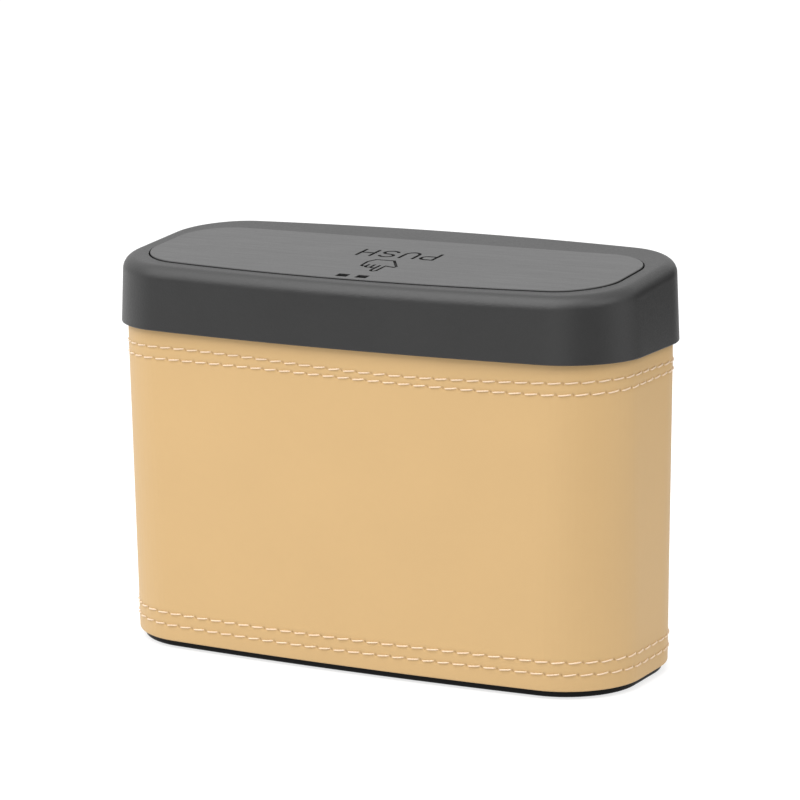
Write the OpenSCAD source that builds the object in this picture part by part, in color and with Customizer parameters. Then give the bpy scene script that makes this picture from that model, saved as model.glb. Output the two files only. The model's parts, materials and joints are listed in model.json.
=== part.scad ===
// Car trash bin: a leather-wrapped bucket under a push-open cap.
// +Z is up, -Y is the front with the latch, +Y is the rear with the hinge.
// The origin is on the floor, under the middle of the bin. All sizes are in millimetres.

/* [Overall size] */
// Width of the cap, the long way
cap_w = 210; // [190:1:260]
// Depth of the cap at the middle of its long sides
cap_d = 90.8; // [84:0.1:130]
// Height from the floor to the highest point of the cap, at its rear
height = 151.6; // [120:0.1:220]
// Height of the cap from its lower edge to its highest point
cap_h = 30.4; // [29:0.1:40]
// Slope of the top, which falls towards the front, in degrees
top_slope = 5.1; // [3:0.1:6]

/* [Outline] */
// Corner radius at the cap
corner_r = 25.5; // [20:0.5:34]
// Corner radius at the foot
foot_r = 29.5; // [22:0.5:36]
// How far each long side swells at its middle, at the cap
cap_bow = 6.7; // [0:0.1:10]
// How far each long side swells at its middle, at the foot
foot_bow = 3.9; // [0:0.1:8]

/* [Cap] */
// Thickness of the cap's wall
cap_wall = 1.8; // [1.4:0.1:2.4]
// Thickness of the cap's top
cap_top_t = 2.2; // [1.6:0.1:2.6]
// Radius of the cap's top edge
cap_fillet = 4.8; // [3:0.1:6]
// Draft of the cap's wall, from its lower edge to its top edge
cap_draft = 0.9; // [0:0.1:1.5]
// Running gap round the flap
flap_gap = 0.5; // [0.3:0.05:0.8]
// Thickness of the shelf that lands on the bag ring
shelf_t = 1.5; // [1.2:0.1:2.5]
// Thickness of the plug skirt that goes into the bucket
plug_t = 1.3; // [1:0.1:1.4]
// Depth of the plug skirt below the cap's lower edge
plug_drop = 5; // [2:0.5:12]
// Number of ribs on each side of the middle, at the front and the back
rib_pairs = 3; // [1:1:4]

/* [Flap] */
// Thickness of the flap
flap_t = 2.4; // [2:0.1:3]
// How far the flap stands above the cap
flap_proud = 0.4; // [0:0.1:0.6]
// Margin from the cap's wall to the flap's side edges
flap_side = 9.8; // [9:0.1:16]
// Margin from the cap's wall to the flap's front edge, at the middle
flap_front = 9.4; // [9.2:0.1:12]
// Margin from the corner line of the back wall to the flap's rear edge
flap_rear = 15.3; // [15:0.1:26]
// Corner radius of the flap
flap_r = 18.5; // [14:0.5:27]
// How far the flap's front edge swells at its middle
flap_bow = 7.4; // [0:0.1:10]
// Depth of the ribs under the flap
flap_rib_h = 3; // [2:0.1:3]
// Thickness of the ribs under the flap
flap_rib_t = 1.4; // [1:0.1:2]
// How far the flap can be pushed down before it meets its ledge
press_travel = 2; // [1.5:0.1:2.4]

/* [Hinge] */
// Radius of the hinge rod
rod_r = 1.2; // [1:0.05:1.4]
// Radial clearance between the rod and the flap's arms
rod_play = 0.07; // [0.03:0.01:0.1]
// Depth of the rod's axis below the top of the flap
hinge_drop = 5.6; // [5.5:0.1:6]
// Distance of the rod's axis behind the flap's rear edge
hinge_back = 6; // [5.8:0.1:7]
// Distance of each hinge arm from the middle
arm_x = 58; // [45:1:66]
// Width of each hinge arm
arm_w = 6; // [4:0.5:9]
// Thickness of each lug that holds the rod
lug_w = 3; // [2:0.5:4]
// Wire diameter of the hinge springs
hinge_wire = 0.8; // [0.6:0.1:1]
// Turns in each hinge spring
hinge_turns = 5; // [3:1:7]

/* [Latch] */
// Upward travel of the plunger
latch_travel = 4.5; // [3:0.1:5]
// Width of the striker's head
striker_w = 12.6; // [11:0.1:14]
// Distance of the striker's middle behind the flap's front edge
striker_back = 4.1; // [3.4:0.1:6.5]
// How far the latch stands to the right of the middle
latch_x = 0; // [-5:0.1:5]
// Width of the two mould holes over the striker's head
hole_w = 4.6; // [3:0.1:4.8]
// Depth of the two mould holes over the striker's head
hole_d = 3.7; // [3.2:0.1:4.4]
// Wall of the latch housing
latch_wall = 1.05; // [0.9:0.05:1.1]
// Wire diameter of the latch's coil spring
latch_wire = 0.5; // [0.4:0.05:0.6]
// Turns in the latch's coil spring
latch_turns = 5; // [3:1:7]

/* [Bucket] */
// Wall of the bucket
bucket_wall = 2; // [1.6:0.1:2.4]
// Thickness of the bucket's floor
floor_t = 2; // [1.6:0.1:3]
// Height of the bucket's rim above the cap's lower edge
rim_rise = 6.8; // [5:0.1:8]
// Rounding where the floor meets the wall, inside
floor_round = 6; // [2:0.5:10]

/* [Sleeve] */
// How far the sleeve's face lies inside the cap's wall
sleeve_inset = 2.3; // [1.9:0.1:3]
// Thickness of the leather with its backing
sleeve_t = 1.4; // [1:0.1:2]
// Height of the sleeve's lower edge above the floor
sleeve_z = 3.2; // [2.8:0.1:6]

/* [Base] */
// Thickness of the base tray
tray_t = 2.2; // [2:0.1:3]
// How far the base tray's edge lies inside the sleeve's face
tray_inset = 2; // [0.5:0.1:4]
// How far the feet stand out below the tray
foot_out = 0.6; // [0.4:0.1:1.5]
// Radius of a foot
pad_r = 7; // [5:0.5:10]
// Screws that hold the tray: distance from the middle, along the long way
screw_x = 60; // [30:1:70]
// Screws that hold the tray: distance from the middle, along the short way
screw_y = 20; // [12:1:26]

/* [Bag ring] */
// Thickness of the ring's flange
ring_flange = 1.4; // [1:0.1:2]
// Thickness of the ring's skirt
ring_skirt = 1.3; // [1:0.1:1.4]
// Depth of the ring's skirt
ring_drop = 12; // [6:0.5:20]

/* [Hidden] */

$fn = 48;
corner_n = 7;                               // steps round each corner of an outline
side_n = 8;                                 // steps along each long side of an outline
wall_n = 4;                                 // steps up each upright wall

// Heights of the main levels. Those of the sloping top are taken at the bin's middle, and tilt * y is added.
tilt = tan(top_slope);
crest_y = cap_d / 2 - cap_draft - cap_fillet;
top_z = height - tilt * crest_y;            // top face of the cap
face_z = top_z + flap_proud;                // face of the flap
cap_z = height - cap_h;                     // lower edge of the cap
rim_z = cap_z + rim_rise;                   // top of the bucket's rim
lip_h = 2.6;                                // height of the bucket's rolled rim, over the sleeve's top edge
seat_gap = 0.3;                             // rest gap between the cap and the bag ring
shelf_z = rim_z + ring_flange + seat_gap;   // underside of the cap's shelf
shelf_top = shelf_z + shelf_t;
ceiling_z = top_z - cap_top_t;              // underside of the cap's top
under_z = face_z - flap_t;                  // underside of the flap
ledge_z = under_z - press_travel;           // the ledge that stops a pressed flap

// Insets from the cap's outline, from the outside in
sleeve_in = sleeve_inset + sleeve_t;
wrap_gap = 0.1;
bucket_out = sleeve_in + wrap_gap;
bucket_in = bucket_out + bucket_wall;
ring_out = bucket_in + 0.5;
ring_in = ring_out + ring_skirt;
plug_out = ring_in + 0.4;
plug_in = plug_out + plug_t;
ledge_w = 2.2;
lip_wall = 1.4;

// Hinge and latch places
flap_back_y = cap_d / 2 - cap_bow - flap_rear;
flap_front_y = -cap_d / 2 + flap_front;
hinge_y = flap_back_y + hinge_back;
hinge_z = face_z + tilt * hinge_y - hinge_drop;
eye_r = rod_r + 1.4;
lug_r = rod_r + 2;
side_play = 0.4;
lug_x = [arm_x - arm_w / 2 - side_play - lug_w / 2, arm_x + arm_w / 2 + side_play + lug_w / 2];
latch_y = flap_front_y + striker_back;

// Latch, from the flap's underside down
hook_t = 1.2;
claw_top = under_z + tilt * latch_y - press_travel;
head_t = 1.8;
head_top = claw_top - hook_t - 0.2;
head_z = head_top - head_t;
head_d = 3.2;
neck_w = 2.8;
claw_t = 1.5;
claw_x = striker_w / 2 + 0.2;
plunger_w = claw_x + claw_t;
plunger_d = 2.4;
plunger_top = head_z - press_travel;
plunger_h = 10.4;
plunger_z = plunger_top - plunger_h;
housing_play = 0.25;
housing_w = plunger_w + housing_play + latch_wall;
housing_d = plunger_d + housing_play + latch_wall;
housing_top = head_z + 1;
cover_t = 1.4;
housing_z = plunger_z - 4.2;
ear_t = 1.8;
ear_l = 6;
ear_x = housing_w + ear_l / 2;
cup_r = 2.1;
cup_depth = 3;
coil_r = 1.5;
track_depth = 0.9;
track_w = 1;
track_x = 1.6;
pin_r = 0.35;
tip_z = plunger_z + latch_travel + 1.6;

// Foot levels
tray_top = foot_out + tray_t;
floor_z = tray_top + 4.4;
pad_recess = 0.9;
boss_r = 3.4;
pilot_r = 1.3;
screw_head_r = 2.6;
screw_head_h = 1.2;
pad_x = cap_w / 2 - foot_r;
pad_y = cap_d / 2 - foot_r + 4;

// Outline of a rounded box with swelling front and back, drawn anticlockwise.
// yf, yr: front and rear lines; rf, rr: their corner radii; bf, br: their swell; i: inset.
function outline(w, yf, yr, rf, rr, bf, br, i) =
    let (hw = w / 2 - i, y0 = yf + i, y1 = yr - i, r0 = max(rf - i, 1), r1 = max(rr - i, 1),
         mid = (y0 + y1) / 2, half = (y1 - y0) / 2,
         flat = concat(
             [for (k = [0 : corner_n]) let (a = 90 * k / corner_n)
                 [hw - r1 + r1 * cos(a), y1 - r1 + r1 * sin(a)]],
             [for (k = [1 : side_n - 1]) [(hw - r1) * (1 - 2 * k / side_n), y1]],
             [for (k = [0 : corner_n]) let (a = 90 + 90 * k / corner_n)
                 [-hw + r1 + r1 * cos(a), y1 - r1 + r1 * sin(a)]],
             [for (k = [0 : corner_n]) let (a = 180 + 90 * k / corner_n)
                 [-hw + r0 + r0 * cos(a), y0 + r0 + r0 * sin(a)]],
             [for (k = [1 : side_n - 1]) [(hw - r0) * (2 * k / side_n - 1), y0]],
             [for (k = [0 : corner_n]) let (a = 270 + 90 * k / corner_n)
                 [hw - r0 + r0 * cos(a), y0 + r0 + r0 * sin(a)]]))
    [for (p = flat) [p.x, p.y + (p.y > mid ? br : -bf) * (1 - pow(p.x / hw, 2)) * abs(p.y - mid) / half]];

function mix(a, b, t) = a + (b - a) * t;

// Outline of the bin at height z, inset by i. Its corners and swell change from the foot to the cap. A ring
// that leans follows the slope of the top.
function bin_ring(i, z, lean = 0) =
    let (t = min(max(z / cap_z, 0), 1), bow = mix(foot_bow, cap_bow, t), r = mix(foot_r, corner_r, t),
         line = cap_d / 2 - cap_bow)
    [for (p = outline(cap_w, -line, line, r, r, bow, bow, i)) [p.x, p.y, z + lean * tilt * p.y]];

// Outline of the flap, inset by i. Its rear edge is straight. Its rings follow the slope of the top.
function flap_xy(i) =
    outline(cap_w - 2 * flap_side, flap_front_y + flap_bow, flap_back_y, flap_r, flap_r, flap_bow, 0, i);
function flap_ring(i, z) = [for (p = flap_xy(i)) [p.x, p.y, z + tilt * p.y]];

// Y of the cap's front wall at x
function wall_y(x) = -cap_d / 2 + cap_bow * pow(2 * x / cap_w, 2);

// Upright wall of a profile at inset i, from height a to height b, with rings at shared heights between
function wall(i, a, b) =
    let (between = [for (k = [1 : wall_n - 1]) cap_z * k / wall_n])
    concat([[i, a]], [for (k = [0 : wall_n - 2]) [i, between[a < b ? k : wall_n - 2 - k]]], [[i, b]]);

// Arc of a profile from angle a to angle b, as [inset, height] pairs
function arc(ci, cz, r, a, b, n) =
    [for (k = [0 : n]) let (t = mix(a, b, k / n)) [ci + r * cos(t), cz + r * sin(t)]];

// Skin through rings of equal length. A loop joins its last ring to its first, and otherwise both ends are
// capped. Each four-sided patch is split from its lower left to its upper right, so that nested walls agree.
module loft(rings, loop = false) {
    n = len(rings[0]);
    m = len(rings);
    sides = [for (k = [0 : loop ? m - 1 : m - 2], j = [0 : n - 1], half = [0, 1])
        let (a = k * n, b = ((k + 1) % m) * n, q = (j + 1) % n, up = rings[(k + 1) % m][0].z >= rings[k][0].z)
        up ? (half == 0 ? [a + j, b + j, b + q] : [a + j, b + q, a + q])
           : (half == 0 ? [a + j, b + j, a + q] : [a + q, b + j, b + q])];
    ends = loop ? [] : [[for (j = [0 : n - 1]) j], [for (j = [n - 1 : -1 : 0]) (m - 1) * n + j]];
    polyhedron(points = [for (r = rings, p = r) p], faces = concat(sides, ends), convexity = 6);
}

// Skins along a profile of [inset, height] pairs. A third number of 1 makes the bin's ring follow the slope.
module bin_loft(profile, loop = false)
    loft([for (p = profile) bin_ring(p[0], p[1], len(p) > 2 ? p[2] : 0)], loop);
module flap_loft(profile, loop = false) loft([for (p = profile) flap_ring(p[0], p[1])], loop);

// A straight cylinder along X
module rod_x(r, x0, x1) translate([x0, 0, 0]) rotate([0, 90, 0]) cylinder(r = r, h = x1 - x0);

// Round wire swept along a list of points, with flat ends
module wire(path, r, sides = 8) {
    last = len(path) - 1;
    loft([for (k = [0 : last])
        let (t = path[min(k + 1, last)] - path[max(k - 1, 0)], u = t / norm(t),
             up = abs(u.x) > 0.9 ? [0, 0, 1] : [1, 0, 0],
             s = cross(u, up) / norm(cross(u, up)), v = cross(u, s))
        [for (j = [0 : sides - 1]) path[k] + r * (cos(360 * j / sides) * s + sin(360 * j / sides) * v)]]);
}

// Puts its children at the four places (+-x, +-y)
module at_corners(x, y) for (sx = [-1, 1], sy = [-1, 1]) translate([sx * x, sy * y, 0]) children();

// Puts its children at the latch's middle, and at its two ears
module at_latch(z = 0) translate([latch_x, latch_y, z]) children();
module at_ears(z = 0) for (sx = [-1, 1]) translate([latch_x + sx * ear_x, latch_y, z]) children();

// A box with half width w and half depth d, from height z0 to height z1
module upright(w, d, z0, z1) translate([-w, -d, z0]) cube([2 * w, 2 * d, z1 - z0]);

module bucket() color("#2b2b2d") {
    lip_in = sleeve_inset + 0.7;
    difference() {
        bin_loft(concat(
            [[bucket_out + 0.6, tray_top]], wall(bucket_out, tray_top + 0.8, rim_z - lip_h),
            [[lip_in, rim_z - lip_h], [lip_in, rim_z - 0.5], [lip_in + 0.5, rim_z],
             [bucket_in - 0.4, rim_z]],
            wall(bucket_in, rim_z - 0.6, floor_z + floor_t + floor_round + 1),
            [for (k = [0 : 3]) let (a = 90 * k / 3)
                [bucket_in + floor_round * (1 - cos(a)), floor_z + floor_t + floor_round * (1 - sin(a))]]));
        // Hollow under the floor
        bin_loft([[bucket_in, tray_top - 1], [bucket_in, floor_z]]);
    }
    // Screw bosses under the floor, each with two gussets
    gusset_t = 1.4;
    pilot_h = 4.2;
    difference() {
        union() {
            at_corners(screw_x, screw_y) translate([0, 0, tray_top])
                cylinder(r = boss_r, h = floor_z - tray_top + 1);
            for (sx = [-1, 1]) translate([sx * screw_x, 0, 0])
                upright(gusset_t / 2, screw_y, tray_top + 1, floor_z + 1);
            for (sy = [-1, 1]) translate([0, sy * screw_y, 0])
                upright(screw_x, gusset_t / 2, tray_top + 1, floor_z + 1);
        }
        at_corners(screw_x, screw_y) translate([0, 0, tray_top - 1]) cylinder(r = pilot_r, h = pilot_h + 1);
    }
}

module leather_sleeve() color("#cfa672") {
    hem = sleeve_t / 2;
    sleeve_top = rim_z - lip_h - 0.3;
    bin_loft(concat(
        arc(sleeve_inset + hem, sleeve_z + hem, hem, 270, 210, 2),
        wall(sleeve_inset, sleeve_z + hem, sleeve_top - hem),
        arc(sleeve_inset + hem, sleeve_top - hem, hem, 150, 90, 2),
        wall(sleeve_in, sleeve_top - hem, sleeve_z + hem)), loop = true);
}

module base_tray() color("#242426") {
    edge = sleeve_inset + tray_inset;
    upstand = 2.6;
    upstand_out = bucket_in + 0.3;
    upstand_in = upstand_out + 1.4;
    difference() {
        // Plate with an upstand that centres the bucket
        bin_loft([[edge + 1, foot_out], [edge + 0.3, foot_out + 0.3], [edge, foot_out + 1], [edge, tray_top],
                  [upstand_out, tray_top], [upstand_out, tray_top + upstand],
                  [upstand_in, tray_top + upstand], [upstand_in, tray_top]]);
        at_corners(screw_x, screw_y) translate([0, 0, foot_out - 1]) {
            cylinder(r = pilot_r + 0.2, h = tray_t + 2);
            cylinder(r = screw_head_r + 0.3, h = 1 + screw_head_h);
        }
        at_corners(pad_x, pad_y) translate([0, 0, foot_out - 1])
            cylinder(r = pad_r + 0.2, h = 1 + pad_recess);
    }
}

module base_screws() color("silver") at_corners(screw_x, screw_y) difference() {
    union() {
        translate([0, 0, foot_out + screw_head_h - 0.1]) cylinder(r = pilot_r - 0.05, h = 5);
        translate([0, 0, foot_out]) cylinder(r1 = screw_head_r - 0.4, r2 = screw_head_r, h = screw_head_h);
    }
    // Cross recess
    for (a = [0, 90]) rotate(a) translate([-1.5, -0.3, foot_out - 0.2]) cube([3, 0.6, 0.9]);
}

module foot(sx, sy) color("#1c1c1c") translate([sx * pad_x, sy * pad_y, 0])
    rotate_extrude() polygon(concat([[0, 0]],
        [for (k = [0 : 4]) let (a = -90 + 90 * k / 4) [pad_r - 0.5 + 0.5 * cos(a), 0.5 + 0.5 * sin(a)]],
        [[pad_r, foot_out + pad_recess], [0, foot_out + pad_recess]]));

module bag_ring() color("#2f2f31") {
    flange_out = bucket_out - 0.4;
    low = rim_z - ring_drop;
    high = rim_z + ring_flange;
    bin_loft([
        [ring_out, low], [ring_out, rim_z], [flange_out, rim_z], [flange_out, high - 0.5],
        [flange_out + 0.5, high], [ring_in - 0.5, high], [ring_in, high - 0.6],
        [ring_in, low + 0.6], [ring_in - 0.4, low]], loop = true);
}

// Cap: shell

module cap_shell() {
    inner = cap_wall + cap_draft;
    skirt_in = sleeve_inset - 0.35;
    step_z = rim_z - lip_h + 0.2;
    in_fillet = cap_fillet - cap_wall;
    bin_loft(concat(
        [for (k = [0 : 3]) let (a = 90 * k / 3)
            [inner + in_fillet * (1 - sin(a)), ceiling_z - in_fillet * (1 - cos(a)), 1]],
        [[cap_wall + 0.25, step_z + 0.5], [skirt_in, step_z], [skirt_in, cap_z + 0.3],
         [skirt_in - 0.3, cap_z], [0.3, cap_z], [0, cap_z + 0.4]],
        [for (k = [0 : 6]) let (a = 90 * k / 6)
            [cap_draft + cap_fillet * (1 - cos(a)), top_z - cap_fillet * (1 - sin(a)), 1]]));
}

// Lip and ledge round the front and sides of the flap's opening
module cap_lip() {
    lip_out = -flap_gap - lip_wall;
    ledge_in = ledge_w - flap_gap;
    stop_y = flap_back_y - 12;
    low = ledge_z - 12;
    high = top_z + 6;
    difference() {
        flap_loft([[lip_out, ledge_z - lip_wall], [lip_out, ceiling_z + 0.5], [-flap_gap, ceiling_z + 0.5],
                   [-flap_gap, ledge_z], [ledge_in, ledge_z], [ledge_in, ledge_z - lip_wall]], loop = true);
        translate([-cap_w / 2, stop_y, low]) cube([cap_w, cap_d, high - low]);
        // Room for the latch
        translate([latch_x, flap_front_y - flap_gap, 0]) upright(housing_w + 1.2, ledge_w + 2, low, high);
    }
}

// Shelf that lands on the bag ring, with the plug skirt that centres the cap in the bucket
module cap_plug() bin_loft([
    [plug_out + 0.3, cap_z - plug_drop], [plug_out, cap_z - plug_drop + 1], [plug_out, shelf_z],
    [cap_wall - 0.3, shelf_z], [cap_wall - 0.3, shelf_top], [plug_in, shelf_top],
    [plug_in, cap_z - plug_drop]], loop = true);

// Upright ribs between the shelf, the cap's wall and its top
module cap_ribs() {
    rib_t = 1.2;
    depth = plug_in - cap_wall;
    low = shelf_top - 0.5;
    high = ceiling_z + 0.5;
    for (k = [1 : rib_pairs], sx = [-1, 1], sy = [-1, 1]) {
        x = sx * k * (cap_w / 2 - corner_r) / (rib_pairs + 0.5);
        y = sy * (abs(wall_y(x)) - cap_wall - depth / 2);
        translate([x, y, 0]) upright(rib_t / 2, depth / 2, low, high + tilt * y);
    }
    for (sx = [-1, 1], y = [-cap_d / 6, cap_d / 6])
        translate([sx * (cap_w / 2 - cap_wall - depth / 2), y, 0])
            upright(depth / 2, rib_t / 2, low, high + tilt * y);
}

// Lugs under the rear strip, which hold the hinge rod
module rod_lugs() {
    for (sx = [-1, 1], x = lug_x) lug(sx * x, lug_w);
    lug(0, lug_w);
}

// Underside of the rear strip, measured from the hinge's axis, at a distance y behind it
function over_axis(y) = ceiling_z + tilt * (hinge_y + y) - hinge_z;

module lug(x, w) translate([x - w / 2, hinge_y, hinge_z]) {
    foot_end = cap_d / 2 - hinge_y - cap_wall - 4 - lug_r;
    rod_x(lug_r, 0, w);
    rotate([90, 0, 90]) linear_extrude(w) polygon([
        [-lug_r, 0], [lug_r, 0], [lug_r, over_axis(lug_r) - 1], [foot_end, over_axis(foot_end) - 1],
        [foot_end, over_axis(foot_end) + 0.5], [-lug_r, over_axis(-lug_r) + 0.5]]);
}

// Wings beside the latch housing, with the bosses for its screws
module latch_wings() {
    front = flap_front_y - 1.2;
    back = latch_y + housing_d + 0.3;
    tie = 1.6;
    for (sx = [-1, 1]) translate([latch_x + sx * (ear_x + 0.4) - ear_l / 2 - 0.3, front, shelf_z])
        cube([ear_l + 0.6, back + tie - front, shelf_t]);
    at_ears(shelf_z) cylinder(r = 2.6, h = 6.6);
    translate([latch_x - ear_x, back, shelf_z]) cube([2 * ear_x, tie, shelf_t]);
}

module lid_frame() color("#4a4a4d") difference() {
    union() {
        difference() {
            cap_shell();
            translate([0, 0, ceiling_z - 8]) linear_extrude(cap_top_t + 16) polygon(flap_xy(-flap_gap));
        }
        cap_lip();
        cap_plug();
        cap_ribs();
        rod_lugs();
        latch_wings();
    }
    translate([0, hinge_y, hinge_z]) rod_x(rod_r + 0.05, -arm_x - 20, arm_x + 20);
    at_ears(shelf_z - 1) cylinder(r = 1.1, h = 6.8);
    // Room for the latch housing
    at_latch() upright(housing_w + 0.2, housing_d + 0.2, shelf_z - 1, shelf_top + 0.5);
}

// Hinge

module hinge_rod() color("silver") translate([0, hinge_y, hinge_z]) {
    rod_x(rod_r, -lug_x[1] - lug_w / 2 - 0.2, lug_x[1] + lug_w / 2 + 3);
    rod_x(rod_r + 1, -lug_x[1] - lug_w / 2 - 1.2, -lug_x[1] - lug_w / 2 - 0.2);
}

module rod_clips() color("darkgray") translate([lug_x[1] + lug_w / 2 + 0.3, hinge_y, hinge_z])
    difference() {
        union() {
            rod_x(rod_r + 1.2, 0, 0.6);
            rod_x(rod_r + 0.6, 0.6, 1.4);
        }
        rod_x(rod_r + 0.02, -1, 3);
    }

// Torsion spring round the rod, inboard of the inner lug. One leg bears on the cap, the other on the flap.
module torsion_spring(sx) color("gainsboro") translate([0, hinge_y, hinge_z]) rotate([top_slope, 0, 0]) {
    r = hinge_wire / 2;
    coil = rod_r + 0.5 + r;
    pitch = hinge_wire + 0.15;
    start = lug_x[0] - lug_w / 2 - 1.2 - hinge_turns * pitch;
    steps = 14;
    leg = hinge_back + 2.6;
    under_flap = hinge_drop - flap_t - 0.9 - r;
    under_strip = hinge_drop - flap_proud - cap_top_t - 0.2 - r;
    turns = [for (k = [0 : hinge_turns * steps]) let (a = -90 + 360 * k / steps)
        [sx * (start + pitch * k / steps), -coil * cos(a), coil * sin(a)]];
    front = [[sx * start, -leg, under_flap], [sx * start, 3 - leg, under_flap - 1.2]];
    end_x = sx * (start + hinge_turns * pitch);
    back = [[end_x, 4, -1.6], [end_x, 8, under_strip]];
    wire(concat(front, turns, back), r);
}

// Flap

// Hinge arm in the hinge's own plane: an eye, a hook that passes under the rear strip, and a root in the flap
module hinge_arm() {
    corner = norm([hinge_back - flap_gap, hinge_drop - flap_proud]);
    r0 = corner + 0.6;
    r1 = r0 + 2;
    root = hinge_drop - flap_t + 0.5;
    outer = arc(0, 0, r1, 180 - asin(root / r1), 225, 8);
    inner = arc(0, 0, r0, 238, 180 - asin(root / r0), 8);
    rotate([top_slope, 0, 0]) difference() {
        translate([-arm_w / 2, 0, 0]) rotate([90, 0, 90]) linear_extrude(arm_w) union() {
            polygon(concat(outer, [[-3.6, -8.4], [-0.6, -6.6], [eye_r, -0.4], [0, 0.6], [-2.4, -0.9],
                                   [-3.2, -5.4]], inner));
            circle(r = eye_r);
        }
        rod_x(rod_r + rod_play, -arm_w, arm_w);
    }
}

// Striker that the latch grips: a neck and a cross head with a bevelled underside
module striker() at_latch() {
    upright(neck_w / 2, head_d / 2, head_top - 0.2, claw_top + press_travel + 0.4);
    translate([0, head_d / 2, 0]) rotate([90, 0, 0]) linear_extrude(head_d) polygon([
        [-striker_w / 2, head_top], [-striker_w / 2, head_z + 0.8], [-striker_w / 2 + 1.2, head_z],
        [striker_w / 2 - 1.2, head_z], [striker_w / 2, head_z + 0.8], [striker_w / 2, head_top]]);
}

module flap_ribs() {
    rib_in = ledge_w + 1.2;
    low = under_z - flap_rib_h;
    clear = housing_w + 1;
    front = flap_front_y + rib_in + 0.4;
    back = flap_back_y - rib_in - 0.4;
    side = cap_w / 2 - flap_side - rib_in - 1;
    beside_arm = arm_x + arm_w / 2 + 3;
    difference() {
        flap_loft([[rib_in, low], [rib_in, under_z + 0.3], [rib_in + flap_rib_t, under_z + 0.3],
                   [rib_in + flap_rib_t, low]], loop = true);
        translate([latch_x - clear, flap_front_y, low - 5]) cube([2 * clear, 14, flap_rib_h + 9]);
    }
    // Ribs along the slope, and ribs across it
    run = [front + 4, back];
    for (x = [-1, -0.5, 0.5, 1] * beside_arm) translate([x - flap_rib_t / 2, 0, low + 1])
        rotate([90, 0, 90]) linear_extrude(flap_rib_t) polygon([
            [run[0], tilt * run[0]], [run[1], tilt * run[1]],
            [run[1], tilt * run[1] + flap_rib_h], [run[0], tilt * run[0] + flap_rib_h]]);
    for (y = [front + 16, back - 16]) translate([-side, y, low + 1 + tilt * y])
        cube([2 * side, flap_rib_t, flap_rib_h]);
}

module flap() color("#55555a") difference() {
    union() {
        flap_loft(concat([[1.7, under_z], [0.2, face_z - 0.9], [0, face_z - 0.5]],
            [for (k = [1 : 3]) let (a = 90 * k / 3) [0.5 * (1 - cos(a)), face_z - 0.5 * (1 - sin(a))]]));
        flap_ribs();
        striker();
        for (sx = [-1, 1]) translate([sx * arm_x, hinge_y, hinge_z]) hinge_arm();
    }
    // Two holes over the arms of the striker's head, left by the mould
    for (sx = [-1, 1]) at_latch() translate([sx * (neck_w / 2 + 0.25 + hole_w / 2), 0, 0])
        upright(hole_w / 2, hole_d / 2, head_top, face_z + 1);
}

// Latch

module latch_housing() color("#39393b") difference() {
    union() {
        at_latch() upright(housing_w, housing_d, housing_z, housing_top);
        at_ears() upright(ear_l / 2 + 0.3, 2.7, shelf_z - ear_t, shelf_z);
    }
    // Bore for the plunger, open at both ends
    at_latch() upright(plunger_w + housing_play, plunger_d + housing_play, housing_z - 1, housing_top + 1);
    at_ears(shelf_z - ear_t - 1) cylinder(r = 1.15, h = ear_t + 2);
    // Slot in the front wall for the wire pin
    at_latch() translate([track_x - 0.45, -housing_d + 0.35, housing_z - 1])
        cube([0.9, latch_wall, tip_z - housing_z + 2]);
}

module latch_cover() color("#39393b") {
    at_latch() upright(housing_w, housing_d, housing_z - cover_t, housing_z);
    // Peg inside the coil spring
    at_latch(housing_z - 0.2) cylinder(r = coil_r - latch_wire / 2 - 0.15, h = 2.2);
}

module latch_screws() color("silver") at_ears() difference() {
    union() {
        translate([0, 0, shelf_z - ear_t - 0.1]) cylinder(r = 1.05, h = 7);
        translate([0, 0, shelf_z - ear_t - 1.3]) cylinder(r1 = 1.7, r2 = 2.1, h = 1.3);
    }
    for (a = [0, 90]) rotate(a) translate([-1.2, -0.25, shelf_z - ear_t - 1.5]) cube([2.4, 0.5, 0.8]);
}

module latch_spring() color("gainsboro") {
    z0 = housing_z + latch_wire / 2;
    z1 = plunger_z + cup_depth - latch_wire / 2 - 0.05;
    steps = 12;
    at_latch() wire([for (k = [0 : latch_turns * steps]) let (a = 360 * k / steps)
        [coil_r * cos(a), coil_r * sin(a), mix(z0, z1, k / (latch_turns * steps))]], latch_wire / 2);
}

// Wire pin: hung in the housing at its lower end, its bent upper end runs in the plunger's track
module latch_pin() color("silver") at_latch() {
    y = -plunger_d - housing_play - 0.3;
    foot_z = housing_z + 1.2;
    translate([track_x, y, foot_z]) cylinder(r = pin_r, h = tip_z - foot_z, $fn = 24);
    translate([track_x, y, tip_z]) sphere(r = pin_r, $fn = 24);
    translate([track_x, y, tip_z]) rotate([-90, 0, 0])
        cylinder(r = pin_r, h = track_depth - 0.2 - plunger_d - y, $fn = 24);
}

// Plunger: block with two hooked claws, a spring cup below and a heart track in its front face
module latch_plunger() color("whitesmoke") at_latch() difference() {
    union() {
        upright(plunger_w, plunger_d, plunger_z, plunger_top);
        for (side = [0, 1]) mirror([side, 0, 0])
            translate([0, plunger_d, 0]) rotate([90, 0, 0]) linear_extrude(2 * plunger_d)
            polygon([[plunger_w, plunger_top - 1], [plunger_w, claw_top - 0.6], [plunger_w - 0.6, claw_top],
                     [claw_x - 0.4, claw_top], [claw_x - 1.2, claw_top - hook_t + 0.3],
                     [claw_x - 1.2, claw_top - hook_t], [claw_x, claw_top - hook_t],
                     [claw_x, plunger_top - 1]]);
    }
    translate([0, 0, plunger_z - 1]) cylinder(r = cup_r, h = cup_depth + 1);
    heart_track();
}

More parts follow.
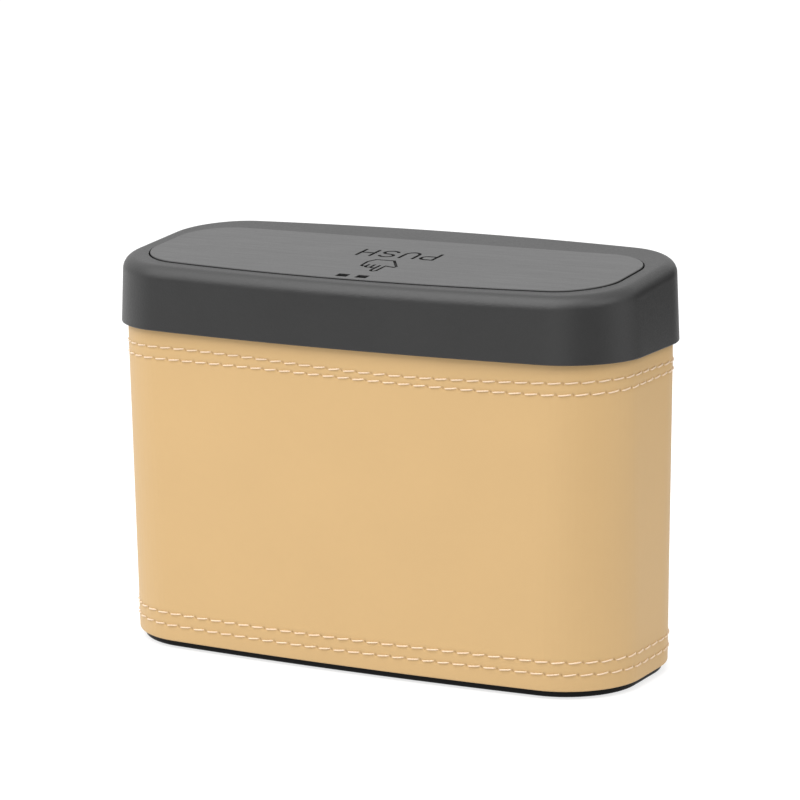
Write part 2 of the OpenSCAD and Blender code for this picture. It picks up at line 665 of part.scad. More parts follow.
// Closed track round a heart-shaped island
module heart_track() {
    low = tip_z - latch_travel - track_w / 2;
    high = tip_z + track_w / 2 + 0.2;
    out = track_x + track_w / 2;
    in = track_x - track_w / 2;
    translate([0, track_depth - plunger_d, 0]) rotate([90, 0, 0]) linear_extrude(track_depth + 1)
    difference() {
        polygon([[-out, low + 1], [-0.6, low], [out, low], [out, high], [-out, high]]);
        polygon([[-in, low + 1.8], [0, low + 1], [in, low + 1.4], [in, high - track_w - 0.4],
                 [in / 2, high - track_w], [0, high - track_w - 0.8], [-in / 2, high - track_w],
                 [-in, high - track_w - 0.4]]);
    }
}

bucket();
leather_sleeve();
base_tray();
base_screws();
foot(-1, -1);  // foot_front_left
foot(1, -1);  // foot_front_right
foot(-1, 1);  // foot_rear_left
foot(1, 1);  // foot_rear_right
bag_ring();
lid_frame();
hinge_rod();
rod_clips();
torsion_spring(-1);  // torsion_spring_left
torsion_spring(1);  // torsion_spring_right
latch_housing();
latch_cover();
latch_screws();
latch_spring();
latch_pin();
flap();
latch_plunger();
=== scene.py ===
"""Looks of a small car trash bin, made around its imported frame.

The bin is a plastic bucket in a stitched leather sleeve. It stands on a shallow base tray and is closed by a satin
plastic cap with a push-open flap. Each class below makes one sub-assembly or one finish. Shapes are worked out in
millimetres, in the frame's own axes, and become metres when a mesh is made.
"""

import json
import logging
import math
from collections.abc import Iterable, Sequence
from dataclasses import dataclass, field
from enum import Enum
from typing import NamedTuple

import bpy
from mathutils import Matrix, Vector, noise

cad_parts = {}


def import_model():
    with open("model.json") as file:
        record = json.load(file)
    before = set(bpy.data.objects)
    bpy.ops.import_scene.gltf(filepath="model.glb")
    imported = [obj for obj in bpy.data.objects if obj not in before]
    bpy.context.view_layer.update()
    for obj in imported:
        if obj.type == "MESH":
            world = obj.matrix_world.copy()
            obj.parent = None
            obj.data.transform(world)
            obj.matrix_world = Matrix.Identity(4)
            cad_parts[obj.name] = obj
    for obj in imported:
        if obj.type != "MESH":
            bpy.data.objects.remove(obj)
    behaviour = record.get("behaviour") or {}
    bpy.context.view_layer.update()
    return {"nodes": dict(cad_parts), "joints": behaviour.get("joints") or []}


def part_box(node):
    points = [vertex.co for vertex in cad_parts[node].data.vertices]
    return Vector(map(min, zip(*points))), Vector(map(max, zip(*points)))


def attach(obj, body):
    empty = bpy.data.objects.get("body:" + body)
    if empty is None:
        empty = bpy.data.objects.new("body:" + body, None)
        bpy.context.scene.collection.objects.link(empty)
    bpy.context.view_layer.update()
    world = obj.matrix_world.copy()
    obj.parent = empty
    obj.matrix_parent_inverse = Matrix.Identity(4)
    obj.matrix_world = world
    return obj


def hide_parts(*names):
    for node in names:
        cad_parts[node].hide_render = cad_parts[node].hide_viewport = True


LOG = logging.getLogger("car_trash_bin")
MM = 0.001
SLEEVE_THICKNESS = 1.4
FEET = ("foot_front_left", "foot_front_right", "foot_rear_left", "foot_rear_right")

Flat = tuple[float, float]
Profile = list[Flat]
Ring = list[Vector]
Colour = tuple[float, float, float]


class Body(Enum):
    """Bodies of the frame that the pieces move with."""

    BIN = "bin"
    CAP = "cap"
    LID = "lid"


class Slot(Enum):
    """Material slots of the record, one for each kind of new piece."""

    BUCKET = "bucket_plastic"
    LEATHER = "sleeve_leather"
    THREAD = "sleeve_thread"
    BASE = "base_plastic"
    RING = "ring_plastic"
    CAP = "cap_plastic"
    FLAP = "flap_plastic"


class Join(Enum):
    """Ways in which one solid changes another."""

    ADD = "UNION"
    CUT = "DIFFERENCE"


class Axis(Enum):
    """Direction in which a flat outline is drawn out, and how its two coordinates are placed."""

    X = (0, 1, 2)
    Y = (1, 0, 2)
    Z = (2, 0, 1)


class Corner(NamedTuple):
    """One corner of a node's box, in millimetres."""

    x: float
    y: float
    z: float


def extent(node: str) -> tuple[Corner, Corner]:
    """Returns the lowest and the highest corner of a node's box at rest."""
    low, high = (Corner(*(value / MM for value in corner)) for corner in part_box(node))
    return low, high


def mix(start: float, end: float, share: float) -> float:
    """Returns the value that lies at a share of the way from start to end."""
    return start + (end - start) * share


def held(value: float) -> float:
    """Returns the value, kept between 0 and 1."""
    return min(max(value, 0.0), 1.0)


def ease(value: float) -> float:
    """Returns a smooth step from 0 to 1 as value goes from 0 to 1."""
    share = held(value)
    return share * share * (3 - 2 * share)


def bend(centre: Flat, radii: Flat, start: float, end: float, steps: int = 8) -> list[Flat]:
    """Returns an arc of an ellipse from its centre and radii, with its angles in degrees."""
    angles = [math.radians(mix(start, end, k / steps)) for k in range(steps + 1)]
    return [(centre[0] + radii[0] * math.cos(a), centre[1] + radii[1] * math.sin(a)) for a in angles]


def arc(inset: float, height: float, radius: float, start: float, end: float, steps: int) -> Profile:
    """Returns a round arc of a profile, as pairs of inset and height. Its angles start at a growing inset."""
    return bend((inset, height), (radius, radius), start, end, steps)


@dataclass(frozen=True)
class Outline:
    """Rounded box seen from above, whose long front and rear sides may swell.

    The points run anticlockwise from the end of the front side, and rings of one outline always match in number.
    """

    width: float
    front: float
    rear: float
    radius: float
    front_bow: float
    rear_bow: float
    corner_steps: int = 16
    side_steps: int = 48
    end_steps: int = 8

    def points(self, inset: float) -> list[Flat]:
        """Returns the outline's points.

        Args:
            inset: How far the outline lies inside its full size.

        Returns:
            Pairs of x and y.
        """
        half_w = self.width / 2 - inset
        middle = (self.front + self.rear) / 2
        half_d = (self.rear - self.front) / 2 - inset
        radius = max(self.radius - inset, 1.0)
        across, along = half_w - radius, half_d - radius
        centres = [(across, -along), (across, along), (-across, along), (-across, -along)]
        corners = []
        for number, (cx, cy) in enumerate(centres):
            angles = [math.radians(90 * (number - 1 + k / self.corner_steps)) for k in range(self.corner_steps + 1)]
            corners.append([(cx + radius * math.cos(a), cy + radius * math.sin(a)) for a in angles])
        straight = []
        for number, corner in enumerate(corners):
            straight += corner
            (x0, y0), (x1, y1) = corner[-1], corners[(number + 1) % 4][0]
            steps = self.side_steps if number % 2 else self.end_steps
            straight += [(mix(x0, x1, k / steps), mix(y0, y1, k / steps)) for k in range(1, steps)]
        swollen = []
        for x, y in straight:
            bow = self.rear_bow if y > 0 else self.front_bow
            swollen.append((x, middle + y + math.copysign(bow, y) * (1 - (x / half_w) ** 2) * abs(y) / half_d))
        return swollen

    def ring(self, inset: float, height: float, slope: float = 0.0) -> Ring:
        """Returns the outline at one inset and height, as points in space, rising to the rear by a slope."""
        return [Vector((x, y, height + slope * y)) for x, y in self.points(inset)]


class Contour:
    """A closed outline that can be walked by a share of its length, starting at the middle of its front."""

    def __init__(self, points: list[Flat]) -> None:
        """Measures the outline.

        Args:
            points: Its points, anticlockwise, one of them at the middle of the front.
        """
        first = min(range(len(points)), key=lambda k: (points[k][1] > 0, abs(points[k][0])))
        self.points = points[first:] + points[: first + 1]
        self.walked = [0.0]
        for (x0, y0), (x1, y1) in zip(self.points, self.points[1:]):
            self.walked.append(self.walked[-1] + math.hypot(x1 - x0, y1 - y0))
        self.length = self.walked[-1]

    def at(self, share: float) -> tuple[Vector, Vector]:
        """Finds a place on the outline.

        Args:
            share: Share of the whole length, from the middle of the front, anticlockwise.

        Returns:
            The point and the outward direction there, both level.
        """
        target = (share % 1.0) * self.length
        low, high = 0, len(self.walked) - 1
        while high - low > 1:
            half = (low + high) // 2
            low, high = (half, high) if self.walked[half] <= target else (low, half)
        part = (target - self.walked[low]) / (self.walked[high] - self.walked[low])
        (x0, y0), (x1, y1) = self.points[low], self.points[high]
        ahead = self._direction(high)
        behind = self._direction(low)
        along = behind.lerp(ahead, part).normalized()
        return Vector((mix(x0, x1, part), mix(y0, y1, part), 0)), Vector((along.y, -along.x, 0))

    def _direction(self, index: int) -> Vector:
        """Returns the outline's level direction of travel at one of its points.

        Args:
            index: The point's number.

        Returns:
            The direction, as a unit vector.
        """
        count = len(self.points) - 1
        (x0, y0), (x1, y1) = self.points[(index - 1) % count], self.points[(index + 1) % count]
        return Vector((x1 - x0, y1 - y0, 0)).normalized()


@dataclass(frozen=True)
class Envelope:
    """Outer form that the cap, sleeve, bucket and base share.

    Its corners and swell change from the foot to the cap.
    """

    width: float
    depth: float
    cap_z: float = 121.2
    cap_radius: float = 25.5
    foot_radius: float = 29.5
    cap_bow: float = 6.7
    foot_bow: float = 3.9
    slope: float = math.tan(math.radians(5.1))

    @classmethod
    def from_frame(cls) -> "Envelope":
        """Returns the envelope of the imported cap."""
        low, high = extent("lid_frame")
        return cls(width=high.x - low.x, depth=high.y - low.y)

    def outline(self, height: float) -> Outline:
        """Returns the outline at one height.

        Args:
            height: The height over the floor.

        Returns:
            The outline.
        """
        share = held(height / self.cap_z)
        bow = mix(self.foot_bow, self.cap_bow, share)
        line = self.depth / 2 - self.cap_bow
        radius = mix(self.foot_radius, self.cap_radius, share)
        return Outline(self.width, -line, line, radius, bow, bow)

    def rings(self, profile: Iterable[Flat], lean: float = 0.0) -> list[Ring]:
        """Returns one ring for each pair of inset and height. They follow the share lean of the top's slope."""
        return [self.outline(height).ring(inset, height, lean * self.slope) for inset, height in profile]

    def inset_of(self, node: str) -> float:
        """Returns how far a node's box lies inside the envelope's ends."""
        low, high = extent(node)
        return self.width / 2 - (high.x - low.x) / 2


class Draft:
    """Points and faces of one closed solid, in millimetres."""

    def __init__(self) -> None:
        """Starts with no points and no faces."""
        self.points: list[Vector] = []
        self.faces: list[tuple[int, ...]] = []

    def loft(self, rings: Sequence[Ring], closed: bool = False) -> "Draft":
        """Adds a skin through rings of equal length.

        Args:
            rings: The rings, so that the skin's outside is on their right.
            closed: Whether the last ring joins the first. Otherwise both ends are capped.

        Returns:
            The draft itself.
        """
        base, count, total = len(self.points), len(rings[0]), len(rings)
        for ring in rings:
            self.points.extend(ring)
        for k in range(total if closed else total - 1):
            lower, upper = base + k * count, base + (k + 1) % total * count
            for j in range(count):
                i = (j + 1) % count
                self.faces.append((lower + j, lower + i, upper + i, upper + j))
        if not closed:
            self.faces.append(tuple(base + j for j in reversed(range(count))))
            self.faces.append(tuple(base + (total - 1) * count + j for j in range(count)))
        return self

    def prism(self, outline: Sequence[Flat], axis: Axis, start: float, end: float) -> "Draft":
        """Adds a flat outline drawn out along an axis.

        Args:
            outline: Its points. Their two coordinates go to the axis's other two directions, in order.
            axis: The direction it is drawn out in.
            start: Where it begins on that axis.
            end: Where it ends, further on.

        Returns:
            The draft itself.
        """
        main, first, second = axis.value
        pairs = list(zip(outline, list(outline[1:]) + [outline[0]]))
        turn = sum(a[0] * b[1] - b[0] * a[1] for a, b in pairs)
        wanted = -1 if axis is Axis.Y else 1
        ordered = list(outline) if turn * wanted > 0 else list(reversed(outline))
        rings = []
        for place in (start, end):
            ring = []
            for a, b in ordered:
                point = Vector((0, 0, 0))
                point[main], point[first], point[second] = place, a, b
                ring.append(point)
            rings.append(ring)
        return self.loft(rings)

    def block(self, low: Sequence[float], high: Sequence[float]) -> "Draft":
        """Adds a box between two corners, and returns the draft."""
        (x0, y0, z0), (x1, y1, z1) = low, high
        return self.prism([(x0, y0), (x1, y0), (x1, y1), (x0, y1)], Axis.Z, z0, z1)

    def cylinder(self, centre: Flat, radius: float, axis: Axis, start: float, end: float, sides: int = 40) -> "Draft":
        """Adds a round bar.

        Args:
            centre: Its centre, in the two directions across the axis.
            radius: Its radius.
            axis: Its direction.
            start: Where it begins on that axis.
            end: Where it ends, further on.
            sides: Number of its sides.

        Returns:
            The draft itself.
        """
        angles = [2 * math.pi * k / sides for k in range(sides)]
        circle = [(centre[0] + radius * math.cos(a), centre[1] + radius * math.sin(a)) for a in angles]
        return self.prism(circle, axis, start, end)

    def leaning(self, slope: float) -> "Draft":
        """Raises each point by its distance to the rear times a slope, and returns the draft.

        Args:
            slope: The slope.

        Returns:
            The draft itself.
        """
        for point in self.points:
            point.z += slope * point.y
        return self

    def mesh(self, name: str) -> bpy.types.Mesh:
        """Makes a Blender mesh of the draft, in metres.

        Args:
            name: The mesh's name.

        Returns:
            The mesh.
        """
        made = bpy.data.meshes.new(name)
        made.from_pydata([point * MM for point in self.points], [], self.faces)
        made.validate()
        return made


class Piece:
    """One named object of the visible model."""

    def __init__(self, name: str, draft: Draft) -> None:
        """Puts a draft's mesh into the scene under the piece's name."""
        self.object = bpy.data.objects.new(name, draft.mesh(name))
        bpy.context.scene.collection.objects.link(self.object)

    def change(self, join: Join, drafts: Iterable[Draft]) -> "Piece":
        """Adds solids to the piece, or cuts them out of it.

        Args:
            join: Whether they are added or cut.
            drafts: The solids, each closed.

        Returns:
            The piece itself.
        """
        tools = []
        for number, draft in enumerate(drafts):
            tool = Piece(f"tool_{number}", draft).object
            step = self.object.modifiers.new(f"step_{number}", "BOOLEAN")
            step.operation = join.value
            step.solver = "MANIFOLD"
            step.object = tool
            tools.append(tool)
        self._apply()
        for tool in tools:
            old = tool.data
            bpy.data.objects.remove(tool)
            bpy.data.meshes.remove(old)
        return self

    def _apply(self) -> None:
        """Turns the object's modifiers into its mesh."""
        seen = self.object.evaluated_get(bpy.context.evaluated_depsgraph_get())
        made = bpy.data.meshes.new_from_object(seen)
        old = self.object.data
        self.object.modifiers.clear()
        self.object.data = made
        bpy.data.meshes.remove(old)

    def undo(self) -> Draft:
        """Takes the piece out of the scene again, and returns its shape as a draft."""
        draft = Draft()
        draft.points = [vertex.co / MM for vertex in self.object.data.vertices]
        draft.faces = [tuple(face.vertices) for face in self.object.data.polygons]
        bpy.data.objects.remove(self.object)
        return draft

    def dress(self, material: bpy.types.Material, crease: float = 32.0, even: bool = True) -> "Piece":
        """Gives the piece its material and smooth shading.

        Args:
            material: The material.
            crease: Angle in degrees above which an edge stays sharp.
            even: Whether large flat faces keep their own direction at a rounded edge.

        Returns:
            The piece itself.
        """
        mesh = self.object.data
        mesh.materials.clear()
        mesh.materials.append(material)
        mesh.shade_smooth()
        mesh.set_sharp_from_angle(angle=math.radians(crease))
        if even:
            self.object.modifiers.new("even_normals", "WEIGHTED_NORMAL").keep_sharp = True
        return self

    def place(self, body: Body, slot: Slot, *nodes: str) -> "Piece":
        """Ties the piece to the frame.

        Args:
            body: The body that it moves with.
            slot: Not used.
            *nodes: The nodes that it stands for.

        Returns:
            The piece itself.
        """
        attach(self.object, body.value)
        if nodes:
            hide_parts(*nodes)
        LOG.info("%s: %d faces on %s", self.object.name, len(self.object.data.polygons), body.value)
        return self


class Field:
    """A number that varies over a surface. It wraps one output socket of a material's nodes."""

    def __init__(self, sheet: "Sheet", socket: bpy.types.NodeSocket) -> None:
        """Wraps an output socket of a sheet's nodes."""
        self.sheet = sheet
        self.socket = socket

    def _with(self, operation: str, first: "Field | float", second: "Field | float") -> "Field":
        """Adds a Math node and returns its result."""
        return self.sheet.add("ShaderNodeMath", {"operation": operation}, {0: first, 1: second})

    def __add__(self, other: "Field | float") -> "Field":
        """Returns self + other."""
        return self._with("ADD", self, other)

    def __radd__(self, other: float) -> "Field":
        """Returns other + self."""
        return self._with("ADD", other, self)

    def __sub__(self, other: "Field | float") -> "Field":
        """Returns self - other."""
        return self._with("SUBTRACT", self, other)

    def __rsub__(self, other: float) -> "Field":
        """Returns other - self."""
        return self._with("SUBTRACT", other, self)

    def __mul__(self, other: "Field | float") -> "Field":
        """Returns self * other."""
        return self._with("MULTIPLY", self, other)

    def __rmul__(self, other: float) -> "Field":
        """Returns other * self."""
        return self._with("MULTIPLY", other, self)


class Sheet:
    """The nodes of one material, with their shader."""

    def __init__(self, name: str) -> None:
        """Makes a material that holds only a shader and its output.

        Args:
            name: The material's name.
        """
        self.material = bpy.data.materials.new(name)
        self.material.use_nodes = True
        self.tree = self.material.node_tree
        self.tree.nodes.clear()
        self.shader = self.tree.nodes.new("ShaderNodeBsdfPrincipled")
        end = self.tree.nodes.new("ShaderNodeOutputMaterial")
        self.tree.links.new(self.shader.outputs[0], end.inputs["Surface"])

    def add(self, kind: str, settings: dict, sockets: dict, output: int | str = 0) -> Field:
        """Adds one node.

        Args:
            kind: The node's type.
            settings: Its properties, set first. The key stops holds a colour ramp's positions and colours.
            sockets: The values or fields of its inputs, by name or number.
            output: Name or number of the output that is returned.

        Returns:
            The node's output.
        """
        node = self.tree.nodes.new(kind)
        for name, value in settings.items():
            if name == "stops":
                for number, (position, colour) in enumerate(value):
                    spare = number < len(node.color_ramp.elements)
                    stop = node.color_ramp.elements[number] if spare else node.color_ramp.elements.new(position)
                    stop.position, stop.color = position, (*colour, 1)
            else:
                setattr(node, name, value)
        for name, value in sockets.items():
            self._feed(node.inputs[name], value)
        return Field(self, node.outputs[output])

    def _feed(self, socket: bpy.types.NodeSocket, value: "Field | float | Sequence[float]") -> None:
        """Links a field to a socket, or sets the socket's own value.

        Args:
            socket: An input socket.
            value: The field, number or colour for it.
        """
        if isinstance(value, Field):
            self.tree.links.new(value.socket, socket)
        elif isinstance(value, (int, float)):
            socket.default_value = value
        else:
            wanted = len(socket.default_value)
            socket.default_value = (*value, 1)[:wanted]

    def shade(self, **sockets: "Field | float | Sequence[float]") -> bpy.types.Material:
        """Sets or links the shader's sockets.

        Args:
            **sockets: Values or fields, by the socket's name with underscores for spaces.

        Returns:
            The finished material.
        """
        names = {socket.name.replace(" ", "_").lower(): socket for socket in self.shader.inputs}
        for name, value in sockets.items():
            self._feed(names[name], value)
        return self.material

    def place(self) -> Field:
        """Returns the point on the surface, in the frame's metres."""
        return self.add("ShaderNodeTexCoord", {}, {}, "Object")

    def depth_below(self, height: float, slope: float) -> Field:
        """Returns the millimetres down from a face, given by its height over the bin's middle and its slope."""
        across, upward = (self.add("ShaderNodeSeparateXYZ", {}, {0: self.place()}, axis) for axis in (1, 2))
        return height + across * (slope / MM) - upward * (1 / MM)

    def cloud(
        self, size: float, detail: float = 2.0, stretch: Sequence[float] = (1, 1, 1), rough: float = 0.5
    ) -> Field:
        """Returns soft noise from 0 to 1. Its size is in millimetres, and detail and rough are its finer layers."""
        sockets = {"Vector": self._stretched(stretch), "Scale": 1 / (size * MM), "Detail": detail, "Roughness": rough}
        return self.add("ShaderNodeTexNoise", {}, sockets)

    def cells(self, size: float, smooth: float) -> Field:
        """Returns the distance from the middle of rounded cells of a size in millimetres, smoothed together."""
        sockets = {"Vector": self.place(), "Scale": 1 / (size * MM), "Smoothness": smooth}
        return self.add("ShaderNodeTexVoronoi", {"feature": "SMOOTH_F1"}, sockets, "Distance")

    def _stretched(self, stretch: Sequence[float]) -> Field:
        """Returns the point on the surface with its axes scaled.

        Args:
            stretch: The factor on each axis.

        Returns:
            The scaled point.
        """
        if tuple(stretch) == (1, 1, 1):
            return self.place()
        return self.add("ShaderNodeVectorMath", {"operation": "MULTIPLY"}, {0: self.place(), 1: stretch})

    def blend(self, share: "Field | float", first: "Field | Colour", second: "Field | Colour") -> Field:
        """Returns a colour mixed from two, by a share of the second."""
        return self.add("ShaderNodeMix", {"data_type": "RGBA"}, {0: share, 6: first, 7: second}, 2)

    def span(self, value: Field, low: float, high: float, start: float, end: float) -> Field:
        """Returns the value moved from the range low to high to the range start to end, and held there."""
        return self.add("ShaderNodeMapRange", {}, {0: value, 1: low, 2: high, 3: start, 4: end})

    def relief(self, height: Field, depth: float, strength: float = 1.0) -> Field:
        """Returns the direction of a surface with a relief from 0 to 1, of a depth in millimetres."""
        return self.add("ShaderNodeBump", {}, {"Height": height, "Distance": depth * MM, "Strength": strength})


def tinted(colour: Colour, share: float) -> Colour:
    """Returns a colour made lighter or darker by a factor."""
    return tuple(min(part * share, 1.0) for part in colour)


@dataclass(frozen=True)
class MouldedPlastic:
    """Satin plastic with the fine, even texture of an eroded mould. Sunk marks in its face, and all that lies deeper,
    are painted nearly black as painted shade.

    The face, where it is given, is its height in millimetres over the bin's middle and its slope.
    """

    name: str
    colour: Colour
    roughness: float = 0.45
    texture_size: float = 0.42
    texture_depth: float = 0.02
    specular: float = 0.5
    streaks: float = 0.0
    face: Flat | None = None
    flow_size: float = 26.0
    streak_size: float = 1.4
    streak_stretch: tuple[float, float, float] = (0.06, 1, 1)
    # Share of the colour that is left in the painted shade below the face.
    sunk_shade_tint: float = 0.03

    def material(self) -> bpy.types.Material:
        """Returns the plastic as a material."""
        sheet = Sheet(self.name)
        grain = sheet.cloud(self.texture_size, detail=3, rough=0.6)
        flow = sheet.cloud(self.flow_size)
        streak = sheet.cloud(self.streak_size, detail=4, stretch=self.streak_stretch, rough=0.65)
        colour = sheet.blend(flow, tinted(self.colour, 0.9), tinted(self.colour, 1.1))
        rough = self.roughness - 0.04 + flow * 0.08 + sheet.span(grain, 0.35, 0.65, -0.03, 0.03)
        rough = rough + sheet.span(streak, 0.3, 0.7, -self.streaks, self.streaks)
        if self.face:
            # Painted shade: from 0.1 to 0.3 mm below the face, the colour darkens to nearly black and the surface
            # grows rougher.
            sunk = sheet.span(sheet.depth_below(*self.face), 0.1, 0.3, 0, 1)
            colour = sheet.blend(sunk, colour, tinted(self.colour, self.sunk_shade_tint))
            rough = rough + sunk * 0.4
        return sheet.shade(
            base_color=colour,
            roughness=rough,
            specular_ior_level=self.specular,
            normal=sheet.relief(grain, self.texture_depth, 0.8),
        )


@dataclass(frozen=True)
class GrainedLeather:
    """Artificial leather with a fine pebble grain. A point attribute is 1 in the bottom of each needle hole and in the
    seam's groove, where the colour is painted darker as painted shade.
    """

    name: str = "tan_leather"
    colour: Colour = (0.527, 0.347, 0.157)
    # Colour of the painted shade in the needle holes and the seam's groove.
    deep: Colour = (0.3, 0.17, 0.075)
    roughness: float = 0.52
    grain_size: float = 0.75
    grain_depth: float = 0.03
    pore_size: float = 0.22
    patch_size: float = 34.0
    fleck_size: float = 3.2

    def material(self) -> bpy.types.Material:
        """Returns the leather as a material."""
        sheet = Sheet(self.name)
        pebble = sheet.cells(self.grain_size, smooth=0.5)
        pore = sheet.cloud(self.pore_size)
        patch = sheet.cloud(self.patch_size, detail=3)
        fleck = sheet.cloud(self.fleck_size)
        worn = sheet.blend(patch, tinted(self.colour, 0.965), tinted(self.colour, 1.035))
        dyed = sheet.blend(fleck * 0.35, worn, tinted(self.colour, 0.95))
        # Painted shade: the needle holes and the seam's groove are painted in the deep colour.
        pit = sheet.add("ShaderNodeAttribute", {"attribute_name": "pit"}, {}, "Fac")
        height = pebble * 0.8 + pore * 0.2
        return sheet.shade(
            base_color=sheet.blend(pit, dyed, self.deep),
            roughness=self.roughness - 0.03 + patch * 0.06 + pit * 0.2,
            specular_ior_level=0.4,
            normal=sheet.relief(height, self.grain_depth, 0.45),
        )


@dataclass(frozen=True)
class PlainFinish:
    """Finish with one fine pattern, which changes its tint and gloss and is felt on its surface.

    The tints are factors on the colour where the pattern is weakest and strongest. The roughness is its lowest
    value and what the pattern adds. The relief is the pattern's depth in millimetres and its strength. A grain is
    the size of another pattern, which is felt in its place.
    """

    name: str
    colour: Colour
    size: float
    tints: Flat
    roughness: Flat
    relief: Flat
    detail: float = 2.0
    stretch: tuple[float, float, float] = (1, 1, 1)
    grain: float | None = None
    metallic: float = 0.0
    sheen: float = 0.0

    def material(self) -> bpy.types.Material:
        """Returns the finish as a material."""
        sheet = Sheet(self.name)
        pattern = sheet.cloud(self.size, self.detail, self.stretch)
        felt = sheet.cloud(self.grain) if self.grain else pattern
        lowest, added = self.roughness
        return sheet.shade(
            base_color=sheet.blend(pattern, *(tinted(self.colour, share) for share in self.tints)),
            metallic=self.metallic,
            roughness=lowest + pattern * added if added else lowest,
            sheen_weight=self.sheen,
            normal=sheet.relief(felt, *self.relief),
        )


STEEL = {"size": 0.5, "tints": (0.85, 1.1), "relief": (0.008, 0.5), "detail": 3, "metallic": 1.0}
ZINC = PlainFinish("zinc_plate", (0.62, 0.63, 0.64), roughness=(0.29, 0.12), **STEEL)
DRAWN = PlainFinish("drawn_rod", (0.62, 0.62, 0.63), roughness=(0.19, 0.12), stretch=(0.05, 1, 1), **STEEL)
SPRING = PlainFinish("spring_wire", (0.5, 0.5, 0.52), roughness=(0.23, 0.12), **STEEL)
THREAD = PlainFinish("cream_thread", (0.72, 0.55, 0.38), 0.12, (0.86, 1.08), (0.55, 0), (0.03, 0.6), sheen=0.15)
RUBBER = PlainFinish("foot_rubber", (0.022, 0.022, 0.023), 1.1, (1, 1.6), (0.72, 0.16), (0.02, 0.6), 3, grain=0.3)
SLIPPERY = PlainFinish("plunger_white", (0.76, 0.75, 0.7), 4, (1, 0.93), (0.3, 0.1), (0.006, 0.5), grain=0.6)


@dataclass(frozen=True)
class StitchRow:
    """One row of stitches round the sleeve. Its height sways a little, as the work was guided by hand."""

    height: float
    phase: float
    sway_front: float
    sway_side: float

    def sway(self, share: float) -> float:
        """Returns how far the row lies above its own height, at a share of the way round."""
        angle = 6 * math.pi * share
        return self.sway_front * math.cos(angle) + self.sway_side * math.sin(angle)


